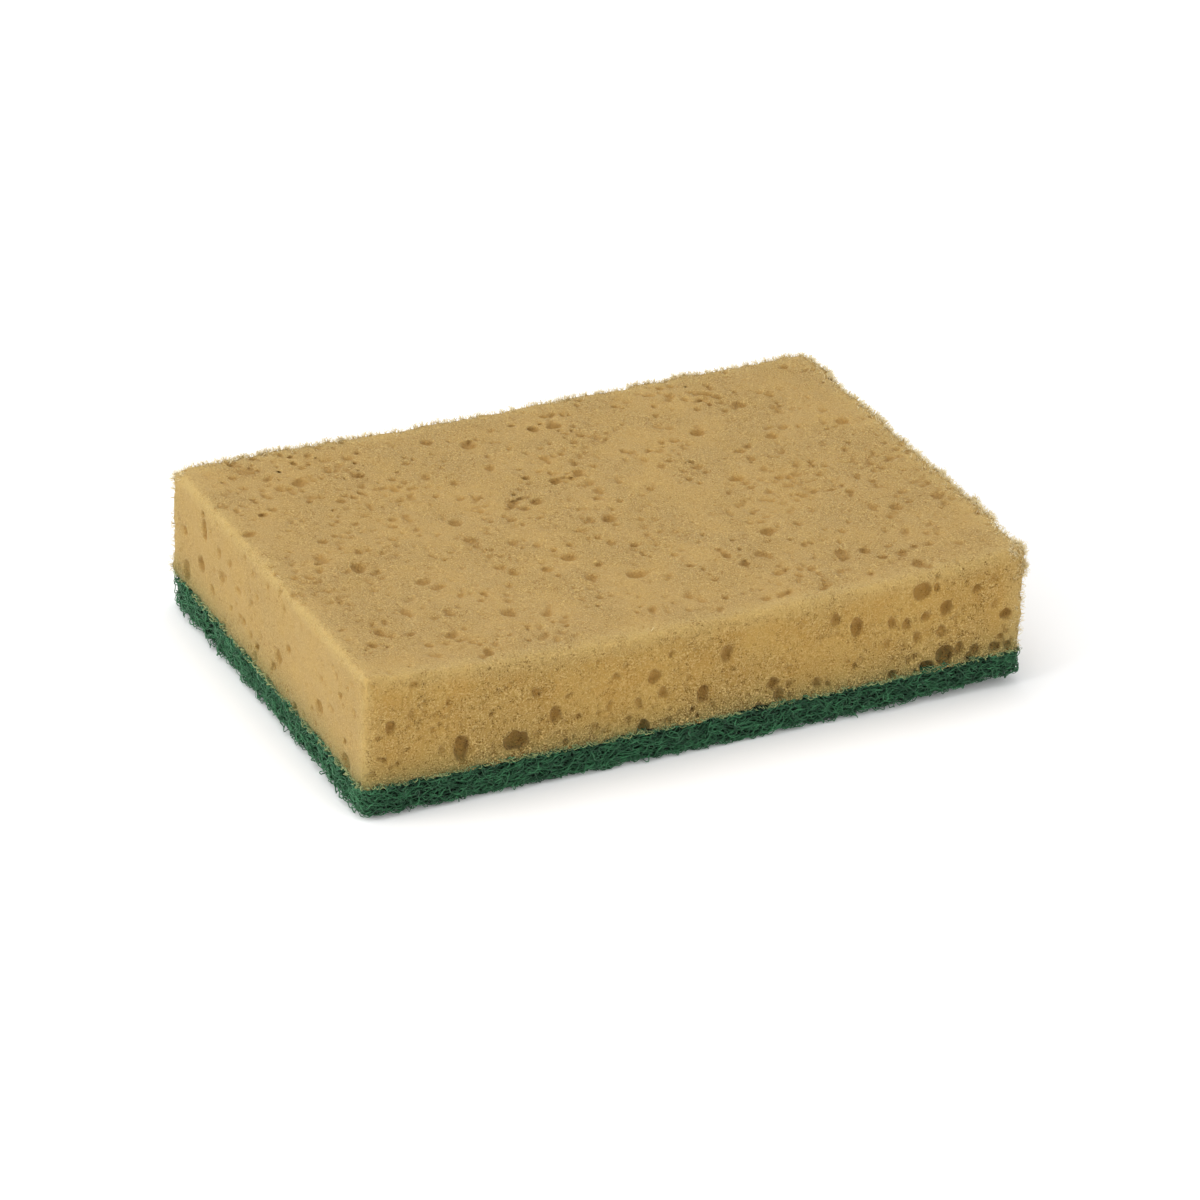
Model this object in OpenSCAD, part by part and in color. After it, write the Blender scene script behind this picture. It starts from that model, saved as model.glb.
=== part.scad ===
// Cleaning sponge: an open-cell foam block bonded on a green non-woven scouring pad.
// +X runs along the long side, +Z is up, and the origin is the middle of the resting face.

/* [Sponge] */
// Length of the sponge, left to right
sponge_l = 150; // [110:1:190]
// Width of the sponge, front to back
sponge_w = 100; // [75:1:130]

/* [Foam block] */
// Height of the foam at its corners
foam_h = 25; // [18:0.5:40]
// Drop of the foam's top between its front corners
front_sag = 2.2; // [1:0.1:4]
// Drop of the foam's top between its back corners
back_sag = 0.3; // [0.1:0.1:0.9]
// Rounding of the foam's top edges
ridge_r = 1.8; // [0.8:0.1:3]
// Rounding of the foam's upright edges
upright_r = 2; // [0.8:0.1:4]

/* [Pores] */
// Width of the largest pores
pore_d = 4; // [2.5:0.1:5]
// Least foam left between two pores
pore_wall = 0.3; // [0.2:0.1:1]
// Small pores spread over the top, between the drawn ones
top_fill = 80; // [0:1:110]
// Small pores spread over each long side, between the drawn ones
long_fill = 34; // [0:1:60]
// Small pores spread over each short side, between the drawn ones
short_fill = 20; // [0:1:40]

/* [Scouring pad] */
// Thickness of the pad
pad_t = 7; // [5:0.5:12]
// Rounding of the pad's upright edges
pad_corner_r = 2.5; // [1:0.1:4]
// Layers of web in the pad
web_layers = 4; // [3:1:5]
// How far the layers of web stand in from each other
web_step = 0.6; // [0.2:0.1:1]
// Thickness of the strands between two gaps
strand_t = 0.7; // [0.4:0.1:1]
// Distance from one gap to the next in a layer
gap_pitch = 9; // [7:0.5:14]
// Depth of the gaps between the strands
gap_depth = 2.5; // [1:0.1:4]
// Width of the largest openings in the resting face
eye_d = 2.4; // [1:0.1:3]
// Depth of the openings in the resting face
eye_depth = 1.4; // [0.5:0.1:2]
// Number of openings in the resting face
eye_count = 116; // [0:1:120]

/* [Hidden] */

FOAM_COLOUR = [0.73, 0.60, 0.38];
PAD_COLOUR = [0.16, 0.28, 0.19];

half_l = sponge_l / 2;
half_w = sponge_w / 2;
foam_top = pad_t + foam_h;
// Radius and centre height of the long arc that the foam's top follows at the front
front_arc_r = (half_l * half_l + front_sag * front_sag) / (2 * front_sag);
arc_z = foam_top - front_sag + front_arc_r;
// The arc is tighter towards the back, so the top climbs there
back_arc_r = front_arc_r - front_sag + back_sag;
climb = atan((front_sag - back_sag) / sponge_w);
// Length and angle added to a cutting or trimming form so that it passes right through
past = 1;
past_angle = 1;
// Angle that the arc turns through on each side of the middle
sag_swing = asin(half_l / back_arc_r) + past_angle;

ROUND_FN = 32;
ARC_FN = 1440;

// Cut at the back of the level part of the top, as a share of the rounding of the top edges
BACK_CUT = 0.5;

// Start and steps of an even, unordered spread of points over a face
SPREAD_START = 0.5;
STEP_ALONG = 0.7548776662;
STEP_UP = 0.5698402910;
STEP_SIZE = 0.6180339887;

// A pore is a slanting pit: its depth and its floor as shares of the width of its opening
PORE_DEEP = 0.85;
PORE_FLOOR = 0.55;
// Slant of the pits: every one up or down its face, and a part to either side
SLANT_UP = 28;
SLANT_SIDE = 16;

// Shares of the largest width that the small pores take
FILL_LEAST = 0.3;
FILL_MOST = 0.62;
// The hidden long and short sides have large pores among the small ones
HIDDEN_MOST = 0.85;

// Face sizes that the pores below are drawn on: length, width, height of the foam
DRAWN = [150, 100, 24];

// Large pores of the front: place along, place up, share of the largest width
FRONT_PORES = [
    [21.6, 4.9, 1], [33.8, 4, 1.1], [132, 3, 1], [125.6, 18.6, 0.9], [110.6, 13.4, 0.85],
    [42.2, 8, 0.75], [75.6, 5.9, 0.75], [80.8, 13.6, 0.75], [62.2, 1.6, 0.75], [131.5, 13.6, 0.7],
    [64.3, 11.8, 0.7], [119, 12.6, 0.65], [125, 8.4, 0.6], [91.8, 4.6, 0.65], [127.6, 1.2, 0.6],
    [18.6, 15.5, 0.55], [10.3, 15, 0.55], [5.8, 12.7, 0.55], [17.4, 5.4, 0.5], [105.6, 16.3, 0.6],
    [38, 13.6, 0.5], [61, 6.7, 0.5], [66.4, 8, 0.5], [138.7, 16.5, 0.55], [145.8, 9.6, 0.6],
    [139.2, 2.8, 0.6], [143.8, 2.6, 0.5], [142.8, 18.2, 0.5], [130.8, 8.7, 0.5], [101.9, 3, 0.45],
    [11, 21, 0.45], [56, 13.7, 0.4], [72.4, 10, 0.4], [50.9, 3.6, 0.4], [1.8, 22.6, 0.45]
];

// Large pores of the top: place along, place back, share of the largest width
TOP_PORES = [
    [61.8, 87, 0.85], [124.6, 82, 0.75], [109.8, 73.4, 0.8], [82.6, 88, 0.75], [113, 12, 0.85],
    [103, 26.8, 0.8], [28, 34.3, 0.75], [38.6, 15.8, 0.75], [69.4, 20.5, 0.8], [75.2, 44.8, 0.75],
    [108.2, 51, 0.75], [18.2, 44.5, 0.75], [124.2, 66, 0.7], [44.6, 55.4, 0.7], [71.8, 64.3, 0.65],
    [19.4, 23.2, 0.65], [120.2, 39.5, 0.6], [90.3, 21, 0.7], [125.5, 2.4, 0.7], [78.5, 57, 0.65],
    [141.3, 66.5, 0.7], [34.5, 82.3, 0.65], [131.3, 76.5, 0.65], [21.5, 84, 0.6], [54, 91, 0.6],
    [12.3, 51.3, 0.65], [3.4, 66.8, 0.65], [11, 17.6, 0.65], [64.3, 57.3, 0.6], [133.3, 26.6, 0.6],
    [128.5, 28.3, 0.6], [77.8, 88, 0.55], [61.7, 75.2, 0.55], [45.4, 12.3, 0.6], [23.8, 11, 0.6],
    [59.5, 32, 0.6], [97.5, 18, 0.6], [114.5, 62, 0.55], [44.2, 47.2, 0.6], [144, 27.5, 0.6],
    [118, 11.5, 0.55], [45, 34.2, 0.6], [46.8, 30.4, 0.5], [23.8, 19.2, 0.5], [18.2, 9.3, 0.5],
    [143.3, 33.8, 0.5], [27.6, 2.4, 0.55], [75.2, 7.6, 0.55], [124.5, 7.6, 0.5], [137.8, 7.4, 0.5],
    [53.5, 29.4, 0.5], [63.8, 26.8, 0.5], [15.8, 57.8, 0.5], [58.8, 57.6, 0.55], [78, 66, 0.55],
    [103, 58.7, 0.5], [74.8, 31.8, 0.5], [52, 71.4, 0.5], [74.4, 74.4, 0.45], [132.8, 84.4, 0.5],
    [9.7, 91.5, 0.5], [102, 92.5, 0.5], [142, 95, 0.5], [105.3, 77.6, 0.5], [47.3, 76.3, 0.45]
];

// Large pores of the left end: place towards the front, place up, share of the largest width
LEFT_PORES = [
    [17.6, 18.2, 0.7], [15.5, 9.5, 0.7], [7.5, 3.8, 0.8], [91.5, 2.6, 0.85], [77.6, 7.5, 0.75],
    [35.5, 13, 0.6], [56.3, 8, 0.65], [27, 11.6, 0.55], [84, 10.4, 0.5], [68.8, 11.8, 0.55],
    [45.5, 5, 0.5], [54, 4.6, 0.4], [31.3, 17, 0.5], [25.2, 16.8, 0.45], [61.3, 12, 0.45]
];

function fraction(v) = v - floor(v);

// Point i of the spread over a face of the given size
function spread(i, size) =
    [fraction(SPREAD_START + i * STEP_ALONG) * size[0], fraction(SPREAD_START + i * STEP_UP) * size[1]];

// Height of the foam's top at a place: the arc, or flat where the arc is higher than the corners
function arc_at(y) = back_arc_r + (front_arc_r - back_arc_r) * (half_w - y) / sponge_w;
function top_at(x, y) = min(foam_top, arc_z - sqrt(arc_at(y) * arc_at(y) - x * x));

// A face is its first corner, its ways along, up and inward, and its drawn and real sizes
long_face = [[DRAWN[0], DRAWN[2]], [sponge_l, foam_h]];
short_face = [[DRAWN[1], DRAWN[2]], [sponge_w, foam_h]];
FRONT = concat([[-half_l, -half_w, pad_t], [1, 0, 0], [0, 0, 1], [0, 1, 0]], long_face);
BACK = concat([[half_l, half_w, pad_t], [-1, 0, 0], [0, 0, 1], [0, -1, 0]], long_face);
LEFT = concat([[-half_l, half_w, pad_t], [0, -1, 0], [0, 0, 1], [1, 0, 0]], short_face);
RIGHT = concat([[half_l, -half_w, pad_t], [0, 1, 0], [0, 0, 1], [-1, 0, 0]], short_face);
TOP = [[-half_l, -half_w, foam_top], [1, 0, 0], [0, 1, 0], [0, 0, -1],
       [DRAWN[0], DRAWN[1]], [sponge_l, sponge_w]];

// A pore is the middle of its opening, the opening's radius, its face and its slants
function pore(face, along, up, share, i) =
    let(at = face[0] + along * face[1] + up * face[2],
        drop = face[3][2] == -1 ? foam_top - top_at(at[0], at[1]) : 0,
        side = SLANT_SIDE * (2 * fraction(i * STEP_ALONG) - 1),
        lean = 2 * fraction(i * STEP_UP) < 1 ? SLANT_UP : -SLANT_UP)
    [at - [0, 0, drop], share * pore_d / 2, face, [lean, side, 0]];

function drawn_pores(face, list) =
    [for (i = [0:1:len(list) - 1])
        let(p = list[i])
        pore(face, p[0] * face[5][0] / face[4][0], p[1] * face[5][1] / face[4][1], p[2], i)];

function fill_pores(face, count, most) =
    [for (i = [1:1:count])
        let(at = spread(i, face[5]), size = fraction(i * STEP_SIZE))
        pore(face, at[0], at[1], FILL_LEAST + (most - FILL_LEAST) * size * size, i)];

// The ball about a pit
function middle(p) = p[0] + p[2][3] * p[1] * PORE_DEEP;
function reach(p) = p[1] * sqrt(1 + PORE_DEEP * PORE_DEEP);

function is_clear(p, kept) =
    len([for (k = kept) if (norm(middle(p) - middle(k)) < reach(p) + reach(k) + pore_wall) k]) == 0;

// Each pore stays only where foam is left between it and the ones before it
function apart(list, kept = [], i = 0) =
    i == len(list) ? kept
    : apart(list, is_clear(list[i], kept) ? concat(kept, [list[i]]) : kept, i + 1);

PORES = apart(concat(
    drawn_pores(FRONT, FRONT_PORES),
    drawn_pores(TOP, TOP_PORES),
    drawn_pores(LEFT, LEFT_PORES),
    fill_pores(BACK, long_fill + len(FRONT_PORES), HIDDEN_MOST),
    fill_pores(RIGHT, short_fill + len(LEFT_PORES), HIDDEN_MOST),
    fill_pores(FRONT, long_fill, FILL_MOST),
    fill_pores(TOP, top_fill, FILL_MOST),
    fill_pores(LEFT, short_fill, FILL_MOST)));

// A pit that narrows inward, drawn past the face so that it opens through the rounded edges too
module pore_pit(p) {
    r = p[1];
    depth = 2 * PORE_DEEP * r;
    slope = (1 - PORE_FLOOR) * r / depth;
    along = p[2][1];
    up = p[2][2];
    out = -p[2][3];
    multmatrix([for (k = [0:1:2]) [along[k], up[k], out[k], p[0][k]]])
        rotate(p[3]) translate([0, 0, -depth])
            cylinder(h = depth + past, r1 = PORE_FLOOR * r, r2 = r + slope * past, $fn = ROUND_FN);
}

// Rectangle about the middle with round corners
module rounded_plan(length, width, r) {
    square([length - 2 * r, width], center = true);
    square([length, width - 2 * r], center = true);
    for (sx = [-1, 1], sy = [-1, 1])
        translate([sx * (length / 2 - r), sy * (width / 2 - r)])
            circle(r = r, $fn = ROUND_FN);
}

// Foam seen from the front, with round top corners
module end_section() {
    intersection() {
        translate([0, foam_top - foam_h]) rounded_plan(sponge_l, 2 * foam_h, ridge_r);
        translate([-half_l, pad_t]) square([sponge_l, foam_h]);
    }
}

// Foam seen from the left: level, with its top corner cut off at the back
module back_section() {
    cut = BACK_CUT * ridge_r;
    polygon([[-half_w, pad_t], [half_w, pad_t], [half_w, foam_top - cut],
             [half_w - cut, foam_top], [-half_w, foam_top]]);
}

// Foam seen from the left, from the arc outward: its top has round corners and climbs to the back
module climbing_section() {
    front = sponge_w - ridge_r;
    inward = ridge_r / cos(climb);
    deepest = 2 * foam_h;
    offset(r = ridge_r, $fn = ROUND_FN)
        polygon([[tan(climb) * ridge_r + inward, ridge_r], [tan(climb) * front + inward, front],
                 [deepest, front], [deepest, ridge_r]]);
}

// Foam's top with round long edges, swept along the arc of the sag
module sagging_top() {
    translate([0, half_w + past, arc_z]) rotate([90, 0, 0])
        rotate([0, 0, -90 - sag_swing])
            rotate_extrude(angle = 2 * sag_swing, $fn = ARC_FN)
                translate([back_arc_r, past]) climbing_section();
}

module foam_form() {
    intersection() {
        translate([0, 0, pad_t]) linear_extrude(foam_h) rounded_plan(sponge_l, sponge_w, upright_r);
        translate([0, half_w + past, 0]) rotate([90, 0, 0]) linear_extrude(sponge_w + 2 * past) end_section();
        translate([-half_l - past, 0, 0]) rotate([90, 0, 90]) linear_extrude(sponge_l + 2 * past) back_section();
        sagging_top();
    }
}

module sponge_block() {
    color(FOAM_COLOUR)
        difference() {
            foam_form();
            for (p = PORES) pore_pit(p);
        }
}

layer_t = pad_t / web_layers;
// Half the height of a gap, between two strands
gap_rise = (layer_t - strand_t) / 2;

// One layer of web, its outline standing in by a share of the step
module web_layer(i) {
    inset = web_step * fraction(i * STEP_SIZE);
    translate([0, 0, i * layer_t])
        linear_extrude(layer_t) rounded_plan(sponge_l - 2 * inset, sponge_w - 2 * inset, pad_corner_r);
}

// Eye-shaped gap between two strands, as two arcs that meet in points
module gap_outline(length) {
    arc_r = (length * length / 4 + gap_rise * gap_rise) / (2 * gap_rise);
    intersection() {
        translate([0, arc_r - gap_rise]) circle(r = arc_r, $fn = ARC_FN);
        translate([0, gap_rise - arc_r]) circle(r = arc_r, $fn = ARC_FN);
    }
}

// Share of the pitch by which the rows of gaps are shifted one way and the other
ROW_SHIFT = 0.125;
// How much shorter the shortest gap is, as a share, and the places that each row starts further on
GAP_VARIES = 0.5;
ROW_START = 3;
// How much smaller the smallest opening in the resting face is, as a share
EYE_VARIES = 0.5;

// Rows of gaps along one side of the pad, each row shifted against the one below
module gap_rows(side_l, side_w) {
    count = floor((side_l - 2 * pad_corner_r) / gap_pitch);
    for (row = [0:1:web_layers - 1], i = [0:1:count - 1]) {
        shift = (row % 2 == 0 ? -1 : 1) * ROW_SHIFT;
        shorter = GAP_VARIES * fraction((i + ROW_START * row) * STEP_SIZE);
        translate([(i - (count - 1) / 2 + shift) * gap_pitch, gap_depth - side_w / 2,
                   row * layer_t + layer_t / 2])
            rotate([90, 0, 0]) linear_extrude(gap_depth + past)
                gap_outline((gap_pitch - strand_t) * (1 - shorter));
    }
}

module scouring_pad() {
    // The openings stay clear of the gaps in the sides
    eye_field = [sponge_l - 2 * (gap_depth + eye_d), sponge_w - 2 * (gap_depth + eye_d)];
    color(PAD_COLOUR)
        difference() {
            union() for (i = [0:1:web_layers - 1]) web_layer(i);
            for (turn = [0, 180]) rotate([0, 0, turn]) gap_rows(sponge_l, sponge_w);
            for (turn = [90, 270]) rotate([0, 0, turn]) gap_rows(sponge_w, sponge_l);
            for (i = [1:1:eye_count])
                let(at = spread(i, eye_field) - eye_field / 2, share = 1 - EYE_VARIES * fraction(i * STEP_SIZE))
                translate([at[0], at[1], -past])
                    cylinder(h = past + eye_depth * share, d = eye_d * share, $fn = ROUND_FN);
        }
}

sponge_block();
scouring_pad();
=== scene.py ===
"""Looks of a cleaning sponge: torn open-cell foam over a pad of curly green nylon fibres."""
import logging
import math
from dataclasses import dataclass, field
from enum import Enum

import bpy
import numpy as np
from mathutils import Matrix, Vector


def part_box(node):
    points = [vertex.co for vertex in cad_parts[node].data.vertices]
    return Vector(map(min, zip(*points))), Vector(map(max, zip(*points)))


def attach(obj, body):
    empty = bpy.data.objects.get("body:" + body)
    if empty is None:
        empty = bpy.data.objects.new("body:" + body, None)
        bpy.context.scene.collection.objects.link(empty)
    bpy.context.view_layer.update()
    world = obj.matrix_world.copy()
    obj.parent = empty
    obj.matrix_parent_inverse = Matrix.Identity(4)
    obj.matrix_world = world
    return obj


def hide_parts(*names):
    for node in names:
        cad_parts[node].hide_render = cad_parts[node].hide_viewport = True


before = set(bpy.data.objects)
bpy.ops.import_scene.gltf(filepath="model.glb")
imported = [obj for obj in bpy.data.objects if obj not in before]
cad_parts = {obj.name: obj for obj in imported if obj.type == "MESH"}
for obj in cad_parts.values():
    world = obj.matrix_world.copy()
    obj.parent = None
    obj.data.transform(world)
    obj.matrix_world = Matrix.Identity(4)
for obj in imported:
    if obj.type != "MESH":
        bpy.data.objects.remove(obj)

LOG = logging.getLogger("sponge")
MM = 0.001
# Least length and least room that anything is divided by
LEAST_LENGTH = 1e-9
LEAST_ROOM = 1e-6

Array = np.ndarray
Piece = bpy.types.Object
Socket = bpy.types.NodeSocket
Pair = tuple[float, float]
Triple = tuple[float, float, float]
Quad = tuple[float, float, float, float]
# Places in mm: arrays along, across and up that broadcast against each other
Places = tuple[Array, Array, Array]

# Start and steps of the even, unordered spread that the solids' small pores follow
SPREAD_START = 0.5
STEP_ALONG = 0.7548776662
STEP_UP = 0.5698402910
STEP_SIZE = 0.6180339887

# Lift, in mm, that puts any place of the foam at the height of its top ridges
RIDGE_LIFT = 20.0

# Face sizes that the pores are drawn on, in mm: length, width, height of the foam
DRAWN = (150.0, 100.0, 24.0)

# Pores of the front, in mm: from the left, above the pad, width, height
FRONT_PORES = (
    (1.5, 23, 2, 1.4), (11, 21.3, 2, 2), (5.8, 12.7, 2.2, 2.6), (10.3, 15, 1.8, 3), (13.2, 16.8, 1.4, 1.4),
    (13.3, 14.8, 1, 1), (16, 14, 1.4, 1.6), (18.6, 15.5, 2, 3), (19.8, 13.5, 1, 1.4), (9.6, 12.2, 1.2, 1.2),
    (3.2, 11, 1.2, 1.4), (6.9, 17.4, 0.8, 0.8), (4.5, 6, 1.2, 1.4), (17.4, 5.4, 1.6, 3), (21.6, 4.9, 3.2, 6),
    (33.8, 4, 5.5, 4.2), (28, 11, 1.2, 1.6), (22.5, 11.8, 1.2, 1.2), (26.7, 22.8, 1.4, 1),
    (38, 13.6, 2, 2.4), (42.2, 8, 2.6, 4), (44.8, 11.6, 1.6, 1.8), (7.8, 4.5, 1, 1.4), (6, 3.8, 1, 1.2),
    (47.3, 6.7, 1.4, 1.4), (44, 3.1, 0.8, 0.8), (50.9, 3.6, 1.4, 1.8), (51.8, 6.5, 1, 1.4),
    (56, 13.7, 1.8, 1.4), (59.1, 3.5, 1.8, 2), (61, 6.7, 1.8, 2.8), (62.2, 1, 2.6, 3.6),
    (64.3, 11.8, 2.6, 3.2), (66.4, 8, 2.2, 2.6), (67.8, 1.3, 1.8, 1.4), (69.2, 19.2, 1, 1.4),
    (72.4, 10, 1.4, 2.2), (75.6, 5.9, 2.8, 3.8), (73.4, 3, 1.2, 1.4), (80.8, 13.6, 2.8, 3.8),
    (89.2, 16.1, 1.2, 1.4), (91.8, 4.6, 2.4, 3.2), (93.2, 2.1, 2, 2.8), (95, 7.3, 1.4, 1.2),
    (95.3, 4, 1.6, 2), (88.5, 0.5, 1, 1), (101.9, 3, 1.8, 2.2), (104.4, 2.2, 1.4, 1.4), (101.2, 1, 1.2, 1),
    (105.6, 16.3, 2.4, 2.6), (110.6, 13.4, 2.8, 4.4), (106, 12.7, 1.2, 1.2), (112.3, 5.4, 0.8, 1.4),
    (108.7, 6.2, 1.4, 1), (119, 12.6, 2.2, 3.4), (119.7, 1.2, 2.2, 2), (122.6, 12, 2, 2.8),
    (125.6, 18.6, 3.8, 4), (129, 18.8, 1.6, 2), (128.8, 21.2, 1.4, 1), (123, 16.3, 1.2, 1.4),
    (126.9, 12.9, 2.2, 2.2), (125, 8.4, 2, 3.4), (124.8, 4, 1.4, 1.6), (127.9, 1, 3, 2.6),
    (131.5, 13.6, 2.6, 3.6), (130.8, 8.7, 2, 2.8), (132, 2.9, 4, 4.4), (134.2, 11, 1.8, 1.2),
    (135.3, 4, 2.2, 2.8), (138.7, 16.5, 2.2, 2.6), (139.2, 2.8, 2.4, 2.8), (137.8, 1.3, 2, 1.6),
    (142.8, 18.2, 2.8, 1.8), (143, 12.3, 1.6, 1.8), (145.8, 9.6, 2.6, 2.6), (143.8, 2.6, 2.6, 2),
    (146.8, 2.4, 1.8, 2),
)

# Pores of the top, in mm: from the left, from the front edge, width, length
TOP_PORES = (
    (21.5, 84, 2.4, 2.6), (34.5, 82.3, 3, 2.2), (45.8, 83.5, 1.8, 1.6), (21, 77.2, 1.4, 1.4),
    (26.3, 72.8, 1.6, 1.6), (6.3, 72.2, 1.6, 1.4), (9, 73.5, 2, 1.6), (13.3, 68.2, 1.2, 1.4),
    (3.4, 66.8, 3, 2.5), (31.2, 67.8, 1.4, 1.8), (36.4, 60.4, 1.4, 1.6), (33.5, 61.5, 2.2, 1.6),
    (15.8, 57.8, 2.2, 2), (44.6, 55.4, 2.6, 2.8), (43.3, 58, 1.4, 1.4), (29.3, 53.5, 1.8, 1.6),
    (12.3, 51.3, 2.6, 2.8), (20.6, 64, 1.4, 1.4), (44, 60.4, 1.8, 1.2), (9.7, 91.5, 2, 2),
    (16, 85.5, 0.8, 1.4), (8.4, 63, 1.2, 1.4), (47.3, 76.3, 1.6, 2), (54, 91, 2.6, 2.4),
    (61.8, 87, 3.4, 3.4), (74.3, 91.3, 2, 1.6), (77.8, 88, 2.2, 2.6), (82.6, 88, 3.2, 3), (86, 82, 2, 2),
    (61.7, 75.2, 2.6, 2), (74.4, 74.4, 1.8, 2), (51.8, 71.4, 2.2, 1.8), (85.2, 71.2, 1.8, 1.6),
    (71.8, 64.3, 2.6, 2.6), (78, 66, 2, 2.4), (64.3, 57.3, 2.6, 2.2), (58.8, 57.6, 2.4, 2.2),
    (78.5, 57, 2.2, 3), (76.5, 54, 1.6, 1.8), (89, 54, 1.6, 1.6), (78.2, 61, 1.8, 2), (56.2, 52, 2, 2),
    (66.4, 67.8, 2, 1.8), (69, 81.5, 1.4, 1.6), (71, 50.8, 1.8, 1.4), (99, 91.4, 2, 2), (124.6, 82, 3, 2.8),
    (132.8, 84.4, 2, 1.8), (131.3, 76.5, 1.6, 3.8), (133, 78.3, 1.6, 1.4), (109.8, 73.4, 3.2, 3),
    (111, 75.3, 1.4, 2), (103.6, 78.4, 1.4, 2), (105.3, 77.6, 1.6, 2), (124.2, 66, 2.6, 3),
    (123.8, 62.3, 1.4, 3), (114.5, 62, 2.6, 1.8), (117, 63.8, 1.8, 1.6), (141.3, 66.5, 3, 2.4),
    (103, 58.7, 2.4, 1.8), (108.2, 51, 3.2, 2.8), (139.7, 52.5, 1.2, 1.6), (140.5, 50.5, 1.4, 1.4),
    (126.3, 88.3, 1.2, 1.2), (142, 95, 1.8, 2.2), (118.5, 84.4, 1.2, 1.8), (102, 92.5, 2.4, 1.6),
    (128.3, 69, 2.4, 1.8), (136.5, 64.8, 1.4, 1.6), (115.3, 57.8, 1.8, 1.6), (122.8, 58.5, 1.8, 1.8),
    (137.5, 67.5, 1.4, 2.4), (4.2, 45.2, 1.8, 1.4), (18.2, 44.5, 2.6, 3.8), (9, 42.6, 1, 1.2),
    (44.2, 47.2, 2.6, 2.2), (42, 48.8, 1.4, 1.4), (20.8, 39.3, 2, 1.4), (17.8, 37.8, 2, 2),
    (28, 34.3, 3, 2.6), (30.3, 31.4, 2, 1.6), (43.7, 37.4, 2, 1.6), (45, 34.2, 3, 2), (47.4, 38.5, 1.8, 1.4),
    (46.8, 30.8, 2.2, 2.2), (44.5, 41.5, 1.4, 1.8), (49.5, 35, 1, 2), (22.8, 28.4, 1.6, 1.8),
    (19.4, 23.2, 2, 3.6), (23.8, 19.2, 2.4, 1.6), (27.8, 18.8, 1.2, 1.2), (11, 17.6, 2, 3.2),
    (16.4, 14.8, 1.6, 1.8), (38.6, 15.8, 3, 3), (38.8, 13.9, 1.4, 1.6), (33.3, 15.2, 1.6, 1.2),
    (45.4, 12.3, 2.4, 2.4), (23.8, 11, 2.8, 2), (18.2, 9.3, 2.2, 2), (7.8, 13.5, 2, 2), (27.6, 2, 2, 2.6),
    (37.3, 24.6, 1.8, 2.4), (35.3, 22.3, 1.4, 1.4), (43.5, 26, 1.2, 1.8), (42.5, 1, 1.8, 1.4),
    (7, 38.8, 1.6, 1.2), (27.3, 5.5, 1.2, 1.4), (48.5, 9.3, 2, 1.4), (75.2, 44.8, 3, 2.8),
    (71.2, 45.3, 1.6, 2.6), (52, 42.5, 1.8, 2), (61, 45.7, 1.6, 1.2), (82.8, 46, 1.4, 1.4),
    (83.7, 40.8, 2.2, 1.6), (67, 42, 2, 1.4), (59.5, 32, 3, 2.4), (53.5, 29.4, 2, 2), (63.8, 26.8, 2.2, 1.8),
    (60.5, 22.5, 1.8, 3.6), (69.4, 20.5, 3.4, 3), (74.8, 31.8, 2.2, 1.8), (90.3, 21, 1.8, 4),
    (97.5, 18.3, 2.6, 2.2), (98.5, 16.8, 1.4, 2), (81.4, 19, 1.8, 1.4), (75.2, 17.4, 1.2, 1.2),
    (83.3, 12.3, 1.8, 2), (92.2, 15.8, 1.4, 2), (75.2, 7.6, 2.4, 2), (97, 9.5, 2.2, 1.8),
    (89.5, 0.8, 2.2, 2), (66, 5.5, 2, 2.2), (68.3, 3.5, 1.6, 2.4), (73, 3, 1.6, 2), (98.3, 12.5, 1.4, 1.6),
    (58.5, 14.5, 1.8, 2), (61, 14, 2, 1.2), (99.5, 37, 1.4, 2.6), (56, 39.5, 1.6, 2), (80.8, 24.5, 1.2, 1.4),
    (85.5, 33.8, 1.4, 1.4), (79, 34.8, 1.2, 1.4), (70.5, 34.5, 1.4, 2), (120.8, 47.8, 1.8, 2.2),
    (111.8, 43, 1.4, 2.2), (129, 45.8, 1, 1.4), (132, 42, 1.4, 2.4), (139, 43.3, 1.4, 1.2),
    (120.2, 39.5, 3, 1.8), (124, 38.6, 3, 1.6), (127.4, 36.3, 2.4, 1.8), (105.6, 36.5, 1.2, 1.4),
    (111.5, 33, 1.4, 1.8), (116.2, 32, 2, 1.8), (104, 31.5, 2.6, 1.6), (103, 26.8, 3.4, 2.8),
    (106, 21.7, 1.6, 1.4), (107.5, 18.4, 1.4, 2), (111, 27.5, 1.8, 2), (128.5, 28.3, 2, 3),
    (133.3, 26.6, 2.4, 2.6), (130.2, 23, 1.8, 2), (131.5, 24.4, 2, 1.6), (113, 12, 3, 4),
    (112, 9.6, 1.6, 1.4), (118, 11.5, 2.2, 2.4), (137.8, 7.4, 1.6, 2.4), (143.3, 7, 1.2, 2.2),
    (124.5, 7.6, 2.6, 1.8), (114.3, 2.3, 2, 2.2), (125.5, 2, 2.6, 3), (120.7, 5.8, 1.6, 1.2),
    (143.3, 33.8, 2.2, 2), (142.2, 37.3, 2, 1.4), (144, 27.5, 2.2, 2.6), (143.5, 23.8, 1.8, 1.8),
    (126, 18, 1.6, 1.6), (120.8, 24, 1.2, 1.2), (117.5, 21, 1.2, 1.6), (133.8, 13.8, 1.6, 1.8),
    (136.5, 17, 1, 1.2), (129, 14.5, 1.2, 1.8), (109, 48.5, 1.4, 2), (140.5, 49.3, 1.2, 2),
    (104, 8.5, 1.6, 2),
)

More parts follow.
